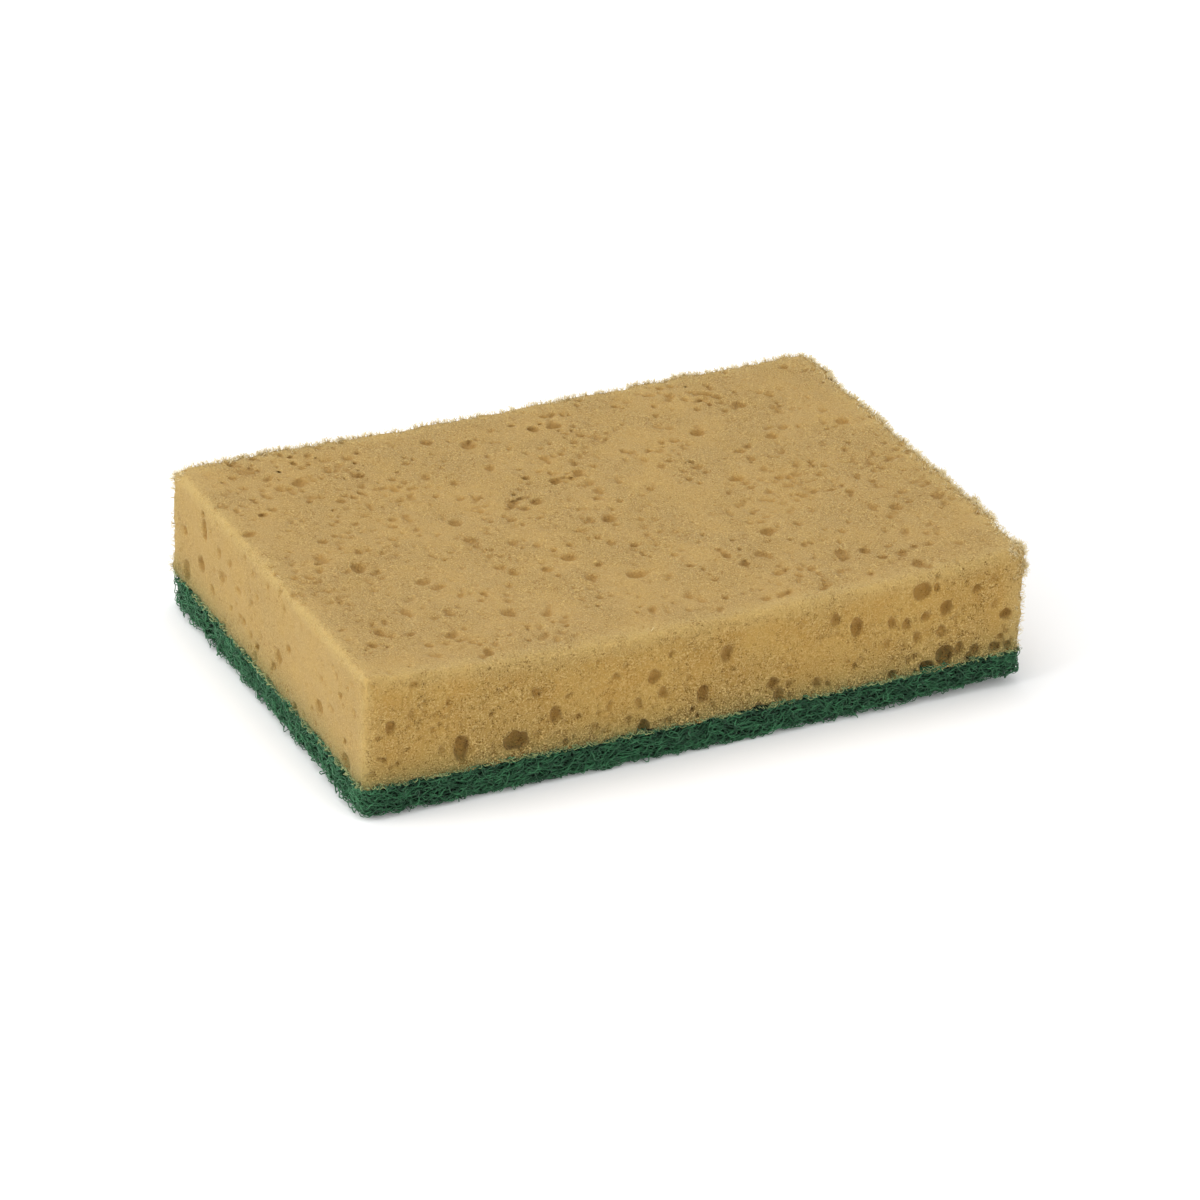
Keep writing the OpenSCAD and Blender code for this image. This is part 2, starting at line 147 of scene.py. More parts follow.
# Pores of the left end, in mm: from the back, above the pad, width, height
LEFT_PORES = (
    (17.6, 18.2, 2.6, 4.2), (17, 21.5, 1.8, 1.6), (15.5, 9.5, 3, 3), (7.5, 4, 3, 4.5), (7, 13, 3, 2),
    (25.2, 16.8, 1.4, 2.4), (27, 11.6, 2, 2.8), (31.3, 17, 2.2, 2), (35.5, 13, 3.4, 1.6),
    (22, 6.5, 1.8, 1.8), (27.8, 1.4, 2, 1.2), (38.6, 0.8, 2.4, 1.4), (45.5, 5, 2, 2), (44.7, 2.5, 1.8, 1.8),
    (42.3, 6, 1.2, 2), (38.6, 7.5, 1.4, 2), (47.5, 8, 1.2, 2.6), (45, 16, 2, 1.6), (54, 4.8, 2, 1.8),
    (56.3, 8, 2.6, 3.4), (61.3, 12, 2, 2), (68.8, 11.8, 2.6, 1.6), (77.6, 7.5, 3, 3), (78.2, 14, 1.8, 1.8),
    (84, 10.4, 3, 1.6), (86.2, 18.5, 1.8, 1.6), (91.5, 2.6, 4, 3), (88, 15.2, 1.4, 1.4), (71.2, 0.6, 1.6, 1),
    (78, 0.8, 1.6, 1.2), (65, 1.5, 1.6, 1.6), (53.4, 0.6, 1.6, 1), (93.8, 20.4, 2, 1.2), (91, 6.6, 1.4, 1.2),
)


def fraction(value: Array) -> Array:
    """Return the part of each value after its whole number."""
    return value - np.floor(value)


def between(first: Array | float, second: Array | float, share: Array | float) -> Array | float:
    """Return values a share of the way from a first to a second."""
    return first + (second - first) * share


def smooth_max(first: Array, second: Array, blend: float) -> Array:
    """Return the greater of two fields in mm, rounded over a blend's width where they are alike."""
    near = np.maximum(blend - np.abs(first - second), 0.0) / blend
    return np.maximum(first, second) + near * near * blend / 4.0


def fold(values: Array, low: Array | float, high: Array | float) -> Array:
    """Return values mirrored back and forth between a lower and an upper limit."""
    room = np.maximum(high - low, LEAST_ROOM)
    return low + room - np.abs(np.mod(values - low, 2 * room) - room)


def ripple(turns: Array, rng: np.random.Generator) -> Array:
    """Return a wave along each fibre, by its turns so far, from a random start."""
    return np.sin(2 * np.pi * (turns + rng.uniform(0, 1, (len(turns), 1))))


@dataclass
class SmoothNoise:
    """Seeded value noise on a repeating lattice, from -1 to 1."""

    seed: int
    cell: float
    lattice: int = 32

    def __post_init__(self) -> None:
        """Draw the lattice's values."""
        rng = np.random.default_rng(self.seed)
        self.values = rng.uniform(-1.0, 1.0, (self.lattice,) * 3).astype(np.float32)

    def at(self, places: Places) -> Array:
        """Return the noise at places.

        Args:
            places: The places, as arrays of one shape.

        Returns:
            One value a place.
        """
        low, share = [], []
        for axis in places:
            scaled = axis / self.cell
            whole = np.floor(scaled)
            part = scaled - whole
            low.append(whole.astype(np.int64) % self.lattice)
            share.append(part * part * (3.0 - 2.0 * part))
        total = 0.0
        for corner in range(8):
            index, weight = [], 1.0
            for k in range(3):
                bit = corner >> k & 1
                index.append((low[k] + bit) % self.lattice)
                weight = weight * (share[k] if bit else 1.0 - share[k])
            total = total + weight * self.values[tuple(index)]
        return total


class Side(Enum):
    """A face of the foam, as its ways along, up and outward."""

    FRONT = ((1, 0, 0), (0, 0, 1), (0, -1, 0))
    BACK = ((-1, 0, 0), (0, 0, 1), (0, 1, 0))
    LEFT = ((0, -1, 0), (0, 0, 1), (-1, 0, 0))
    RIGHT = ((0, 1, 0), (0, 0, 1), (1, 0, 0))
    TOP = ((1, 0, 0), (0, 1, 0), (0, 0, 1))

    @property
    def ways(self) -> Array:
        """Return the three ways as rows."""
        return np.array(self.value, float)


@dataclass(frozen=True)
class Pore:
    """One torn cell: a rounded pit whose three half sizes follow the ways of its face."""

    middle: Triple
    ways: Array
    halves: Triple


@dataclass
class Grid:
    """A box of evenly spaced points, in mm, and a field on them that is below zero inside the material."""

    low: Array
    high: Array
    step: float
    values: Array = field(init=False)

    def __post_init__(self) -> None:
        """Lay out the points."""
        counts = np.ceil((self.high - self.low) / self.step).astype(int) + 1
        self.axes = [(self.low[k] + self.step * np.arange(counts[k])).astype(np.float32) for k in range(3)]

    def window(self, middle: Triple, reach: float) -> tuple[tuple[slice, ...], Places] | None:
        """Return the part of the grid about a point.

        Args:
            middle: The point, in mm.
            reach: How far the part extends each way, in mm.

        Returns:
            The slices and the places of that part, or None if it is empty.
        """
        slices = []
        for axis, place in zip(self.axes, middle):
            first, last = (int(np.searchsorted(axis, place + way * reach)) for way in (-1, 1))
            if last - first < 2:
                return None
            slices.append(slice(first, last))
        return tuple(slices), np.ix_(*[axis[part] for axis, part in zip(self.axes, slices)])

    def net_points(self, inside: Array, index: Array, corners: list) -> Array:
        """Return one point in each cell that the surface crosses.

        Args:
            inside: Which grid points lie inside the material.
            index: The crossed cells, one row each.
            corners: The eight corners of a cell.

        Returns:
            The points in mm, each the mean of where its cell's edges are crossed.
        """
        total = np.zeros((len(index), 3))
        hits = np.zeros(len(index))
        for start in corners:
            for axis in range(3):
                if start[axis]:
                    continue
                near, far = index + start, index + start
                far[:, axis] += 1
                near, far = tuple(near.T), tuple(far.T)
                first, second = self.values[near], self.values[far]
                crossed = inside[near] != inside[far]
                point = np.array(start, float)[None, :] + np.zeros((len(index), 3))
                point[:, axis] += np.where(crossed, first / np.where(crossed, first - second, 1.0), 0.0)
                total += point * crossed[:, None]
                hits += crossed
        return self.low + self.step * (index + total / hits[:, None])

    def skin(self) -> tuple[Array, Array]:
        """Return the surface where the field is zero, as one smooth net.

        Returns:
            Vertices in mm, and quads that face outward.
        """
        inside = self.values < 0.0
        cells = tuple(n - 1 for n in inside.shape)
        corners = [(a, b, c) for a in (0, 1) for b in (0, 1) for c in (0, 1)]
        count = np.zeros(cells, np.int8)
        for start in corners:
            count += inside[tuple(slice(s, s + n) for s, n in zip(start, cells))]
        mixed = (count > 0) & (count < len(corners))
        index = np.argwhere(mixed)
        number = np.full(cells, -1, np.int64)
        number[mixed] = np.arange(len(index))
        quads = []
        for axis, (one, two) in enumerate(((1, 2), (2, 0), (0, 1))):
            ahead, behind, rim = [slice(None)] * 3, [slice(None)] * 3, [slice(1, -1)] * 3
            ahead[axis], behind[axis], rim[axis] = slice(1, None), slice(None, -1), slice(None)
            changed = inside[tuple(behind)] != inside[tuple(ahead)]
            at = np.argwhere(changed[tuple(rim)])
            at[:, [one, two]] += 1
            ring = []
            for step_one, step_two in ((-1, -1), (0, -1), (0, 0), (-1, 0)):
                cell = at.copy()
                cell[:, one] += step_one
                cell[:, two] += step_two
                ring.append(number[tuple(cell.T)])
            quad = np.stack(ring, axis=1)
            turned = ~inside[tuple(at.T)]
            quad[turned] = quad[turned][:, ::-1]
            quads.append(quad)
        return self.net_points(inside, index, corners), np.concatenate(quads)


def sweep_tubes(paths: Array, radii: Array, sides: int) -> tuple[Array, Array, Array]:
    """Sweep many thin fibres along paths, as one mesh.

    Args:
        paths: Points of the fibres in mm, shaped fibre, point, coordinate.
        radii: Radius at each point in mm, shaped fibre, point.
        sides: Sides of a fibre.

    Returns:
        Vertices in mm, quads, and the triangles that close the ends.
    """
    fibres, points, _ = paths.shape
    tangent = np.gradient(paths, axis=1)
    tangent /= np.maximum(np.linalg.norm(tangent, axis=2, keepdims=True), LEAST_LENGTH)
    helper = np.zeros((fibres, 3))
    helper[np.arange(fibres), np.argmin(np.abs(tangent.mean(axis=1)), axis=1)] = 1.0
    across = np.cross(tangent, helper[:, None, :])
    across /= np.maximum(np.linalg.norm(across, axis=2, keepdims=True), LEAST_LENGTH)
    second = np.cross(tangent, across)
    turn = 2.0 * np.pi * np.arange(sides) / sides
    ring = (np.cos(turn)[None, None, :, None] * across[:, :, None, :]
            + np.sin(turn)[None, None, :, None] * second[:, :, None, :])
    vertices = (paths[:, :, None, :] + radii[:, :, None, None] * ring).reshape(-1, 3)
    number = np.arange(fibres * points * sides).reshape(fibres, points, sides)
    nearer, farther = number[:, :-1], number[:, 1:]
    quads = np.stack([nearer, np.roll(nearer, -1, axis=2), np.roll(farther, -1, axis=2), farther], axis=-1)
    ends = np.concatenate([number[:, 0, ::-1], number[:, -1, :]])
    caps = np.concatenate([ends[:, [0, k, k + 1]] for k in range(1, sides - 1)])
    return vertices, quads.reshape(-1, 4), caps


def make_mesh(name: str, vertices: Array, *faces: Array) -> Piece:
    """Build a mesh object from vertices in mm.

    Args:
        name: Name of the piece.
        vertices: Points in mm.
        faces: Arrays of faces, each with the same count of point numbers in every row.

    Returns:
        The new object, in metres, linked to the scene.
    """
    corner = np.concatenate([rows.reshape(-1) for rows in faces]).astype(np.int32)
    total = np.concatenate([np.full(len(rows), rows.shape[1]) for rows in faces]).astype(np.int32)
    mesh = bpy.data.meshes.new(name)
    mesh.vertices.add(len(vertices))
    mesh.vertices.foreach_set("co", (vertices * MM).astype(np.float32).ravel())
    mesh.loops.add(len(corner))
    mesh.loops.foreach_set("vertex_index", corner)
    mesh.polygons.add(len(total))
    mesh.polygons.foreach_set("loop_start", np.concatenate([[0], np.cumsum(total)[:-1]]).astype(np.int32))
    mesh.polygons.foreach_set("loop_total", total)
    mesh.update(calc_edges=True)
    mesh.validate()
    mesh.shade_smooth()
    piece = bpy.data.objects.new(name, mesh)
    bpy.context.scene.collection.objects.link(piece)
    return piece


def rows_of(source: bpy.types.bpy_prop_collection, key: str) -> Array:
    """Return vectors that a mesh holds.

    Args:
        source: The mesh's collection.
        key: What they are called there.

    Returns:
        The vectors, one row each.
    """
    flat = np.zeros(len(source) * 3, np.float32)
    source.foreach_get(key, flat)
    return flat.reshape(-1, 3).astype(float)


def write_tone(piece: Piece, name: str, values: Array) -> None:
    """Store one number a point on a mesh, under the name that a finish reads."""
    tone = piece.data.attributes.new(name, "FLOAT", "POINT")
    tone.data.foreach_set("value", values.astype(np.float32))


def thin_out(piece: Piece, most: int) -> None:
    """Collapse a mesh to a number of triangles, keeping its form.

    Args:
        piece: The mesh object.
        most: Triangles to keep.
    """
    triangles = sum(len(p.vertices) - 2 for p in piece.data.polygons)
    if triangles <= most:
        return
    piece.modifiers.new("thin_out", "DECIMATE").ratio = most / triangles
    graph = bpy.context.evaluated_depsgraph_get()
    finished = bpy.data.meshes.new_from_object(piece.evaluated_get(graph))
    piece.modifiers.clear()
    old = piece.data
    piece.data = finished
    bpy.data.meshes.remove(old)


class Shade:
    """A node material and short ways to add its nodes."""

    # Numbers of the Mix node's colour sockets: share, first, second and result
    MIX_SHARE, MIX_FIRST, MIX_SECOND, MIX_RESULT = 0, 6, 7, 2

    def __init__(self, name: str) -> None:
        """Start a material with its shader and its object coordinates.

        Args:
            name: Name of the material.
        """
        self.material = bpy.data.materials.new(name)
        self.material.use_nodes = True
        self.tree = self.material.node_tree
        self.shader = self.tree.nodes["Principled BSDF"]
        self.place = self.add("TexCoord").outputs["Object"]

    def add(self, kind: str) -> bpy.types.Node:
        """Return a new node of a kind."""
        return self.tree.nodes.new("ShaderNode" + kind)

    def join(self, source: Socket | float | tuple, target: Socket) -> None:
        """Link a socket, or set a plain value.

        Args:
            source: A socket, a number or a colour.
            target: The input that takes it.
        """
        if isinstance(source, Socket):
            self.tree.links.new(source, target)
        else:
            target.default_value = source

    def feed(self, node: bpy.types.Node, inputs: dict, output: str | int) -> Socket:
        """Give a node what goes into it.

        Args:
            node: The node.
            inputs: Sockets, numbers or colours, by the name or number of its input.
            output: Name or number of the output to return.

        Returns:
            The output.
        """
        for key, source in inputs.items():
            self.join(source, node.inputs[key])
        return node.outputs[output]

    def noise(self, scale: float, detail: float = 2.0, rough: float = 0.5) -> Socket:
        """Return noise from 0 to 1, by its waves a metre, its octaves and their strength."""
        inputs = {"Vector": self.place, "Scale": scale, "Detail": detail, "Roughness": rough}
        return self.feed(self.add("TexNoise"), inputs, "Fac")

    def cells(self, scale: float) -> Socket:
        """Return the distance to the nearest wall between scattered cells.

        Args:
            scale: Cells a metre.

        Returns:
            The distance, in cell widths.
        """
        node = self.add("TexVoronoi")
        node.feature = "DISTANCE_TO_EDGE"
        return self.feed(node, {"Vector": self.place, "Scale": scale}, "Distance")

    def tone(self, name: str) -> Socket:
        """Return a number stored on the mesh's points.

        Args:
            name: What it is stored as.

        Returns:
            The number.
        """
        node = self.add("Attribute")
        node.attribute_name = name
        return node.outputs["Fac"]

    def span(self, value: Socket, low: float, high: float, to_low: float = 0.0,
             to_high: float = 1.0) -> Socket:
        """Return a value mapped smoothly from one range to another.

        Args:
            value: The socket to map.
            low: Start of its range.
            high: End of its range.
            to_low: What the start becomes.
            to_high: What the end becomes.

        Returns:
            The mapped value, kept inside the new range.
        """
        node = self.add("MapRange")
        node.interpolation_type = "SMOOTHSTEP"
        inputs = {"Value": value, "From Min": low, "From Max": high, "To Min": to_low, "To Max": to_high}
        return self.feed(node, inputs, "Result")

    def work(self, kind: str, first: Socket | float, second: Socket | float) -> Socket:
        """Return two values worked together.

        Args:
            kind: ADD, MAXIMUM or another operation.
            first: First value.
            second: Second value.

        Returns:
            The result.
        """
        node = self.add("Math")
        node.operation = kind
        return self.feed(node, {0: first, 1: second}, 0)

    def times(self, first: Socket | float, second: Socket | float) -> Socket:
        """Return the product of two values."""
        return self.work("MULTIPLY", first, second)

    def blend(self, share: Socket, first: Socket | tuple, second: Socket | tuple) -> Socket:
        """Return a colour between two.

        Args:
            share: How much of the second.
            first: First colour.
            second: Second colour.

        Returns:
            The mixed colour.
        """
        node = self.add("Mix")
        node.data_type = "RGBA"
        inputs = {self.MIX_SHARE: share, self.MIX_FIRST: first, self.MIX_SECOND: second}
        return self.feed(node, inputs, self.MIX_RESULT)

    def bump(self, height: Socket, depth: float, strength: float) -> None:
        """Roughen the surface by a height from 0 to 1, where 1 stands for a depth in metres."""
        inputs = {"Height": height, "Distance": depth, "Strength": strength}
        self.join(self.feed(self.add("Bump"), inputs, "Normal"), self.shader.inputs["Normal"])

    def paint(self, colour: Socket, **values: float | tuple) -> bpy.types.Material:
        """Give the shader its colour, and constants on its own sockets.

        Args:
            colour: The colour.
            values: The constants, named with underscores for spaces.

        Returns:
            The finished material.
        """
        self.join(colour, self.shader.inputs["Base Color"])
        for key, value in values.items():
            self.shader.inputs[key.replace("_", " ")].default_value = value
        return self.material


def linear(red: float, green: float, blue: float) -> Quad:
    """Return a linear colour with full alpha from screen values of 0 to 255."""
    shares = [v / 255.0 for v in (red, green, blue)]
    return tuple(s / 12.92 if s <= 0.04045 else ((s + 0.055) / 1.055) ** 2.4 for s in shares) + (1.0,)


@dataclass(frozen=True)
class FoamFinish:
    """Dull ochre foam: fine open cells, a green cast by the pad, painted shade that makes the pores darker
    and browner, a pale painted highlight along the torn ridges, painted light that makes the top and left
    faces greyer, and a little painted shade over the left end.

    Each noise is given by its waves a metre, octaves and their strength, and each span by the part
    of a noise that it takes, and what its ends become.
    """

    body: tuple = linear(177, 142, 75)
    strut: tuple = linear(200, 170, 108)
    cell: tuple = linear(104, 76, 32)
    warm_cell: tuple = linear(128, 90, 38)
    blotch: tuple = linear(170, 130, 62)
    # Painted shade: the darker, browner colour inside the pores
    pore_shade: tuple = linear(150, 108, 46)
    # Painted highlight: the pale band along the ridges
    ridge: tuple = linear(186, 161, 104)
    # The green cast by the pad; the same colour is laid thinly over the left end as painted shade
    cast: tuple = linear(98, 104, 64)
    # Painted light: the greyer tone of the top and left faces, for how light falls on them
    lit_faces: tuple = linear(168, 139, 86)
    cell_scale: float = 2300.0
    field_scale: float = 70.0
    grit_noise: tuple = (2800.0, 2.0, 0.7)
    patch_noise: tuple = (850.0, 3.0, 0.65)
    blotch_noise: tuple = (150.0, 3.0, 0.55)
    field_span: tuple = (0.35, 0.65, 0.7, 1.2)
    blotch_span: tuple = (0.38, 0.66, 0.0, 0.55)
    # Painted light on the top and left faces is patchy by this span of the blotches
    lit_faces_span: tuple = (0.35, 0.65, 0.72, 0.98)
    # Part of the grit that breaks up the painted shade in the pores
    pore_shade_span: tuple = (0.35, 0.62, 1.3, 0.6)
    fleck_span: tuple = (0.32, 0.52, 0.9, 0.0)
    speck_spans: tuple = ((0.5, 0.68), (0.42, 0.62, 0.15, 1.1))
    torn_spans: tuple = ((0.1, 0.3), (0.56, 0.66))
    relief_span: tuple = (0.3, 0.7, 1.0, 0.0)
    # Strength of the painted highlight along the ridges
    ridge_highlight_share: float = 0.65
    darker_by_pad: tuple = (1.6, 0.8)
    darkest: float = 0.95
    patch_relief: float = 0.8
    relief: tuple = (0.0003, 0.8)

    def material(self) -> bpy.types.Material:
        """Return the foam's node material."""
        shade = Shade("foam_cells")
        wall = shade.cells(self.cell_scale)
        noises = (self.grit_noise, self.patch_noise, self.blotch_noise)
        grit, patch, blotch = (shade.noise(*noise) for noise in noises)
        names = ("cast", "pore_shade", "lit_faces", "ridge", "grain")
        cast, pore_shade, lit_faces, ridge, grain = (shade.tone(name) for name in names)
        grain = shade.times(grain, shade.span(shade.noise(self.field_scale), *self.field_span))
        by_pad = shade.work("ADD", shade.times(cast, self.darker_by_pad[0]), self.darker_by_pad[1])
        specks, torn = (
            shade.times(shade.span(fine, *spans[0]), shade.span(patch, *spans[1]))
            for fine, spans in ((grit, self.speck_spans), (wall, self.torn_spans)))
        dark = shade.times(shade.work("MAXIMUM", specks, torn), shade.times(grain, by_pad))
        layers = (
            (shade.span(blotch, *self.blotch_span), self.blotch),
            # Painted light: the top and left faces greyer
            (shade.times(lit_faces, shade.span(blotch, *self.lit_faces_span)), self.lit_faces),
            # Painted highlight along the ridges
            (shade.times(ridge, self.ridge_highlight_share), self.ridge),
            # Painted shade inside the pores
            (shade.times(pore_shade, shade.span(grit, *self.pore_shade_span)), self.pore_shade),
            # The green cast by the pad, and a little painted shade over the left end
            (cast, self.cast),
            # Pale flecks, which take the painted pore shade inside the pores
            (shade.times(shade.span(grit, *self.fleck_span), grain),
             shade.blend(pore_shade, self.strut, self.pore_shade)),
            (shade.work("MINIMUM", dark, self.darkest), shade.blend(lit_faces, self.cell, self.warm_cell)),
        )
        colour = self.body
        for share, tint in layers:
            colour = shade.blend(share, colour, tint)
        relief = shade.work("ADD", shade.span(grit, *self.relief_span), shade.times(patch, self.patch_relief))
        shade.bump(shade.times(relief, grain), *self.relief)
        return shade.paint(colour, Roughness=0.95, Specular_IOR_Level=0.12, Sheen_Weight=0.04,
                           Sheen_Roughness=0.5, Subsurface_Weight=0.2, Subsurface_Scale=0.0012,
                           Subsurface_Radius=(1.0, 0.7, 0.4))


@dataclass(frozen=True)
class TornFinish:
    """Pale, slightly clear struts of torn cells."""

    pale: tuple = linear(236, 216, 164)
    deep: tuple = linear(214, 188, 130)
    scale: float = 700.0
    span: tuple = (0.35, 0.65)

    def material(self) -> bpy.types.Material:
        """Return the struts' node material."""
        shade = Shade("torn_struts")
        colour = shade.blend(shade.span(shade.noise(self.scale), *self.span), self.pale, self.deep)
        return shade.paint(colour, Roughness=0.7, Specular_IOR_Level=0.2, Subsurface_Weight=0.4,
                           Subsurface_Radius=(1.0, 0.8, 0.5), Subsurface_Scale=0.0006)


@dataclass(frozen=True)
class FibreFinish:
    """Dark green nylon fibre, each one its own shade, with painted shade deeper in the pad and painted light
    at its left end.
    """

    deep: tuple = linear(10, 52, 30)
    pale: tuple = linear(58, 120, 78)
    grit: tuple = linear(10, 38, 22)
    grit_noise: tuple = (3000.0, 2.0, 0.6)
    streak_noise: tuple = (420.0, 3.0, 0.6)
    grit_span: tuple = (0.5, 0.75, 0.0, 0.6)
    streak_span: tuple = (0.4, 0.65)
    own_share: float = 0.6
    streak_share: float = 0.5
    relief: tuple = (0.0001, 0.6)

    def material(self, name: str) -> bpy.types.Material:
        """Return the fibre's node material.

        Args:
            name: Name of the material.

        Returns:
            The material.
        """
        shade = Shade(name)
        grit, streak = shade.noise(*self.grit_noise), shade.noise(*self.streak_noise)
        own = shade.work("ADD", shade.times(shade.tone("strand"), self.own_share),
                         shade.times(shade.span(streak, *self.streak_span), self.streak_share))
        colour = shade.blend(own, self.deep, self.pale)
        colour = shade.blend(shade.span(grit, *self.grit_span), colour, self.grit)
        shade.bump(grit, *self.relief)
        return shade.paint(colour, Roughness=0.55, Specular_IOR_Level=0.3, Sheen_Weight=0.1,
                           Sheen_Roughness=0.5)


@dataclass(frozen=True)
class BackingFinish:
    """The matted middle of the pad, seen between the fibres, coloured darker than them as painted shade."""

    # Painted shade: the dark colours of the middle between the fibres
    dark: tuple = linear(8, 28, 16)
    light: tuple = linear(26, 60, 36)
    noise: tuple = (1500.0, 4.0, 0.65)
    span: tuple = (0.4, 0.7)
    relief: tuple = (0.0006, 1.0)

    def material(self) -> bpy.types.Material:
        """Return the matted web's node material."""
        shade = Shade("matted_web")
        mat = shade.noise(*self.noise)
        shade.bump(mat, *self.relief)
        colour = shade.blend(shade.span(mat, *self.span), self.dark, self.light)
        return shade.paint(colour, Roughness=0.85, Specular_IOR_Level=0.25)


@dataclass(frozen=True)
class Stance:
    """How the sponge lies: the heights of its corners and middle, in mm over the solids' flat faces."""

    half: Pair
    top: float
    seam: float
    front_corners: Pair = (0.85, 0.15)
    back_corners: Pair = (0.5, 0.4)
    middles: Pair = (-2.25, 0.0)
    seam_corners: Pair = (0.4, 0.9)
    seam_back_lift: float = 0.5
    end_lifts: Pair = (0.5, 2.3)
    end_lift_from: float = 0.3
    less_at_back: float = 0.6
    power: float = 3.0
    flare: float = 0.85

    def shares(self, x: Array, y: Array) -> Places:
        """Return how far places lie to the right, to the back and to an end.

        Args:
            x: Places along, in mm.
            y: Places across, in mm.

        Returns:
            The three shares, from 0 to 1.
        """
        right = np.clip(0.5 + x / (2 * self.half[0]), 0.0, 1.0)
        back = np.clip(0.5 + y / (2 * self.half[1]), 0.0, 1.0)
        return right, back, np.clip(np.abs(x) / self.half[0], 0.0, 1.0) ** self.power

    def top_at(self, x: Array, y: Array) -> Array:
        """Return the height of the foam's top.

        Args:
            x: Places along, in mm.
            y: Places across, in mm.

        Returns:
            The heights in mm.
        """
        right, back, end = self.shares(x, y)
        at_end = between(between(*self.front_corners, right), between(*self.back_corners, right), back)
        at_middle = between(*self.middles, back)
        return self.top + at_middle + (at_end - at_middle) * end

    def seam_at(self, x: Array, y: Array) -> Array:
        """Return the height of the pad's top, where the foam is bonded.

        Args:
            x: Places along, in mm.
            y: Places across, in mm.

        Returns:
            The heights in mm.
        """
        right, back, end = self.shares(x, y)
        at_end = between(*self.seam_corners, right) + self.seam_back_lift * back * (1.0 - right)
        return self.seam + at_end * end

    def base_at(self, x: Array, y: Array) -> Array:
        """Return the height of the pad's underside, which lifts a little at the ends.

        Args:
            x: Places along, in mm.
            y: Places across, in mm.

        Returns:
            The heights in mm.
        """
        start = self.end_lift_from
        reach = np.clip((np.abs(x) / self.half[0] - start) / (1.0 - start), 0.0, 1.0)
        less = 1.0 - self.less_at_back * self.shares(x, y)[1]
        return np.where(x < 0, *self.end_lifts) * reach ** 2 * less

    def flare_at(self, x: Array, y: Array) -> Array:
        """Return how far, in mm, the cut of the left end runs out towards the back."""
        return self.flare * np.clip(-x / self.half[0], 0.0, 1.0) ** 4 * self.shares(x, y)[1] ** 2

    def settle(self, paths: Array) -> Array:
        """Return points of a flat pad moved to the pad as it lies.

        Args:
            paths: Points in mm, in any shape that ends in a coordinate.

        Returns:
            The moved points.
        """
        x, y, z = (paths[..., k] for k in range(3))
        base = self.base_at(x, y)
        height = base + z * (self.seam_at(x, y) - base) / self.seam
        return np.stack([x - self.flare_at(x, y), y, height], axis=-1)


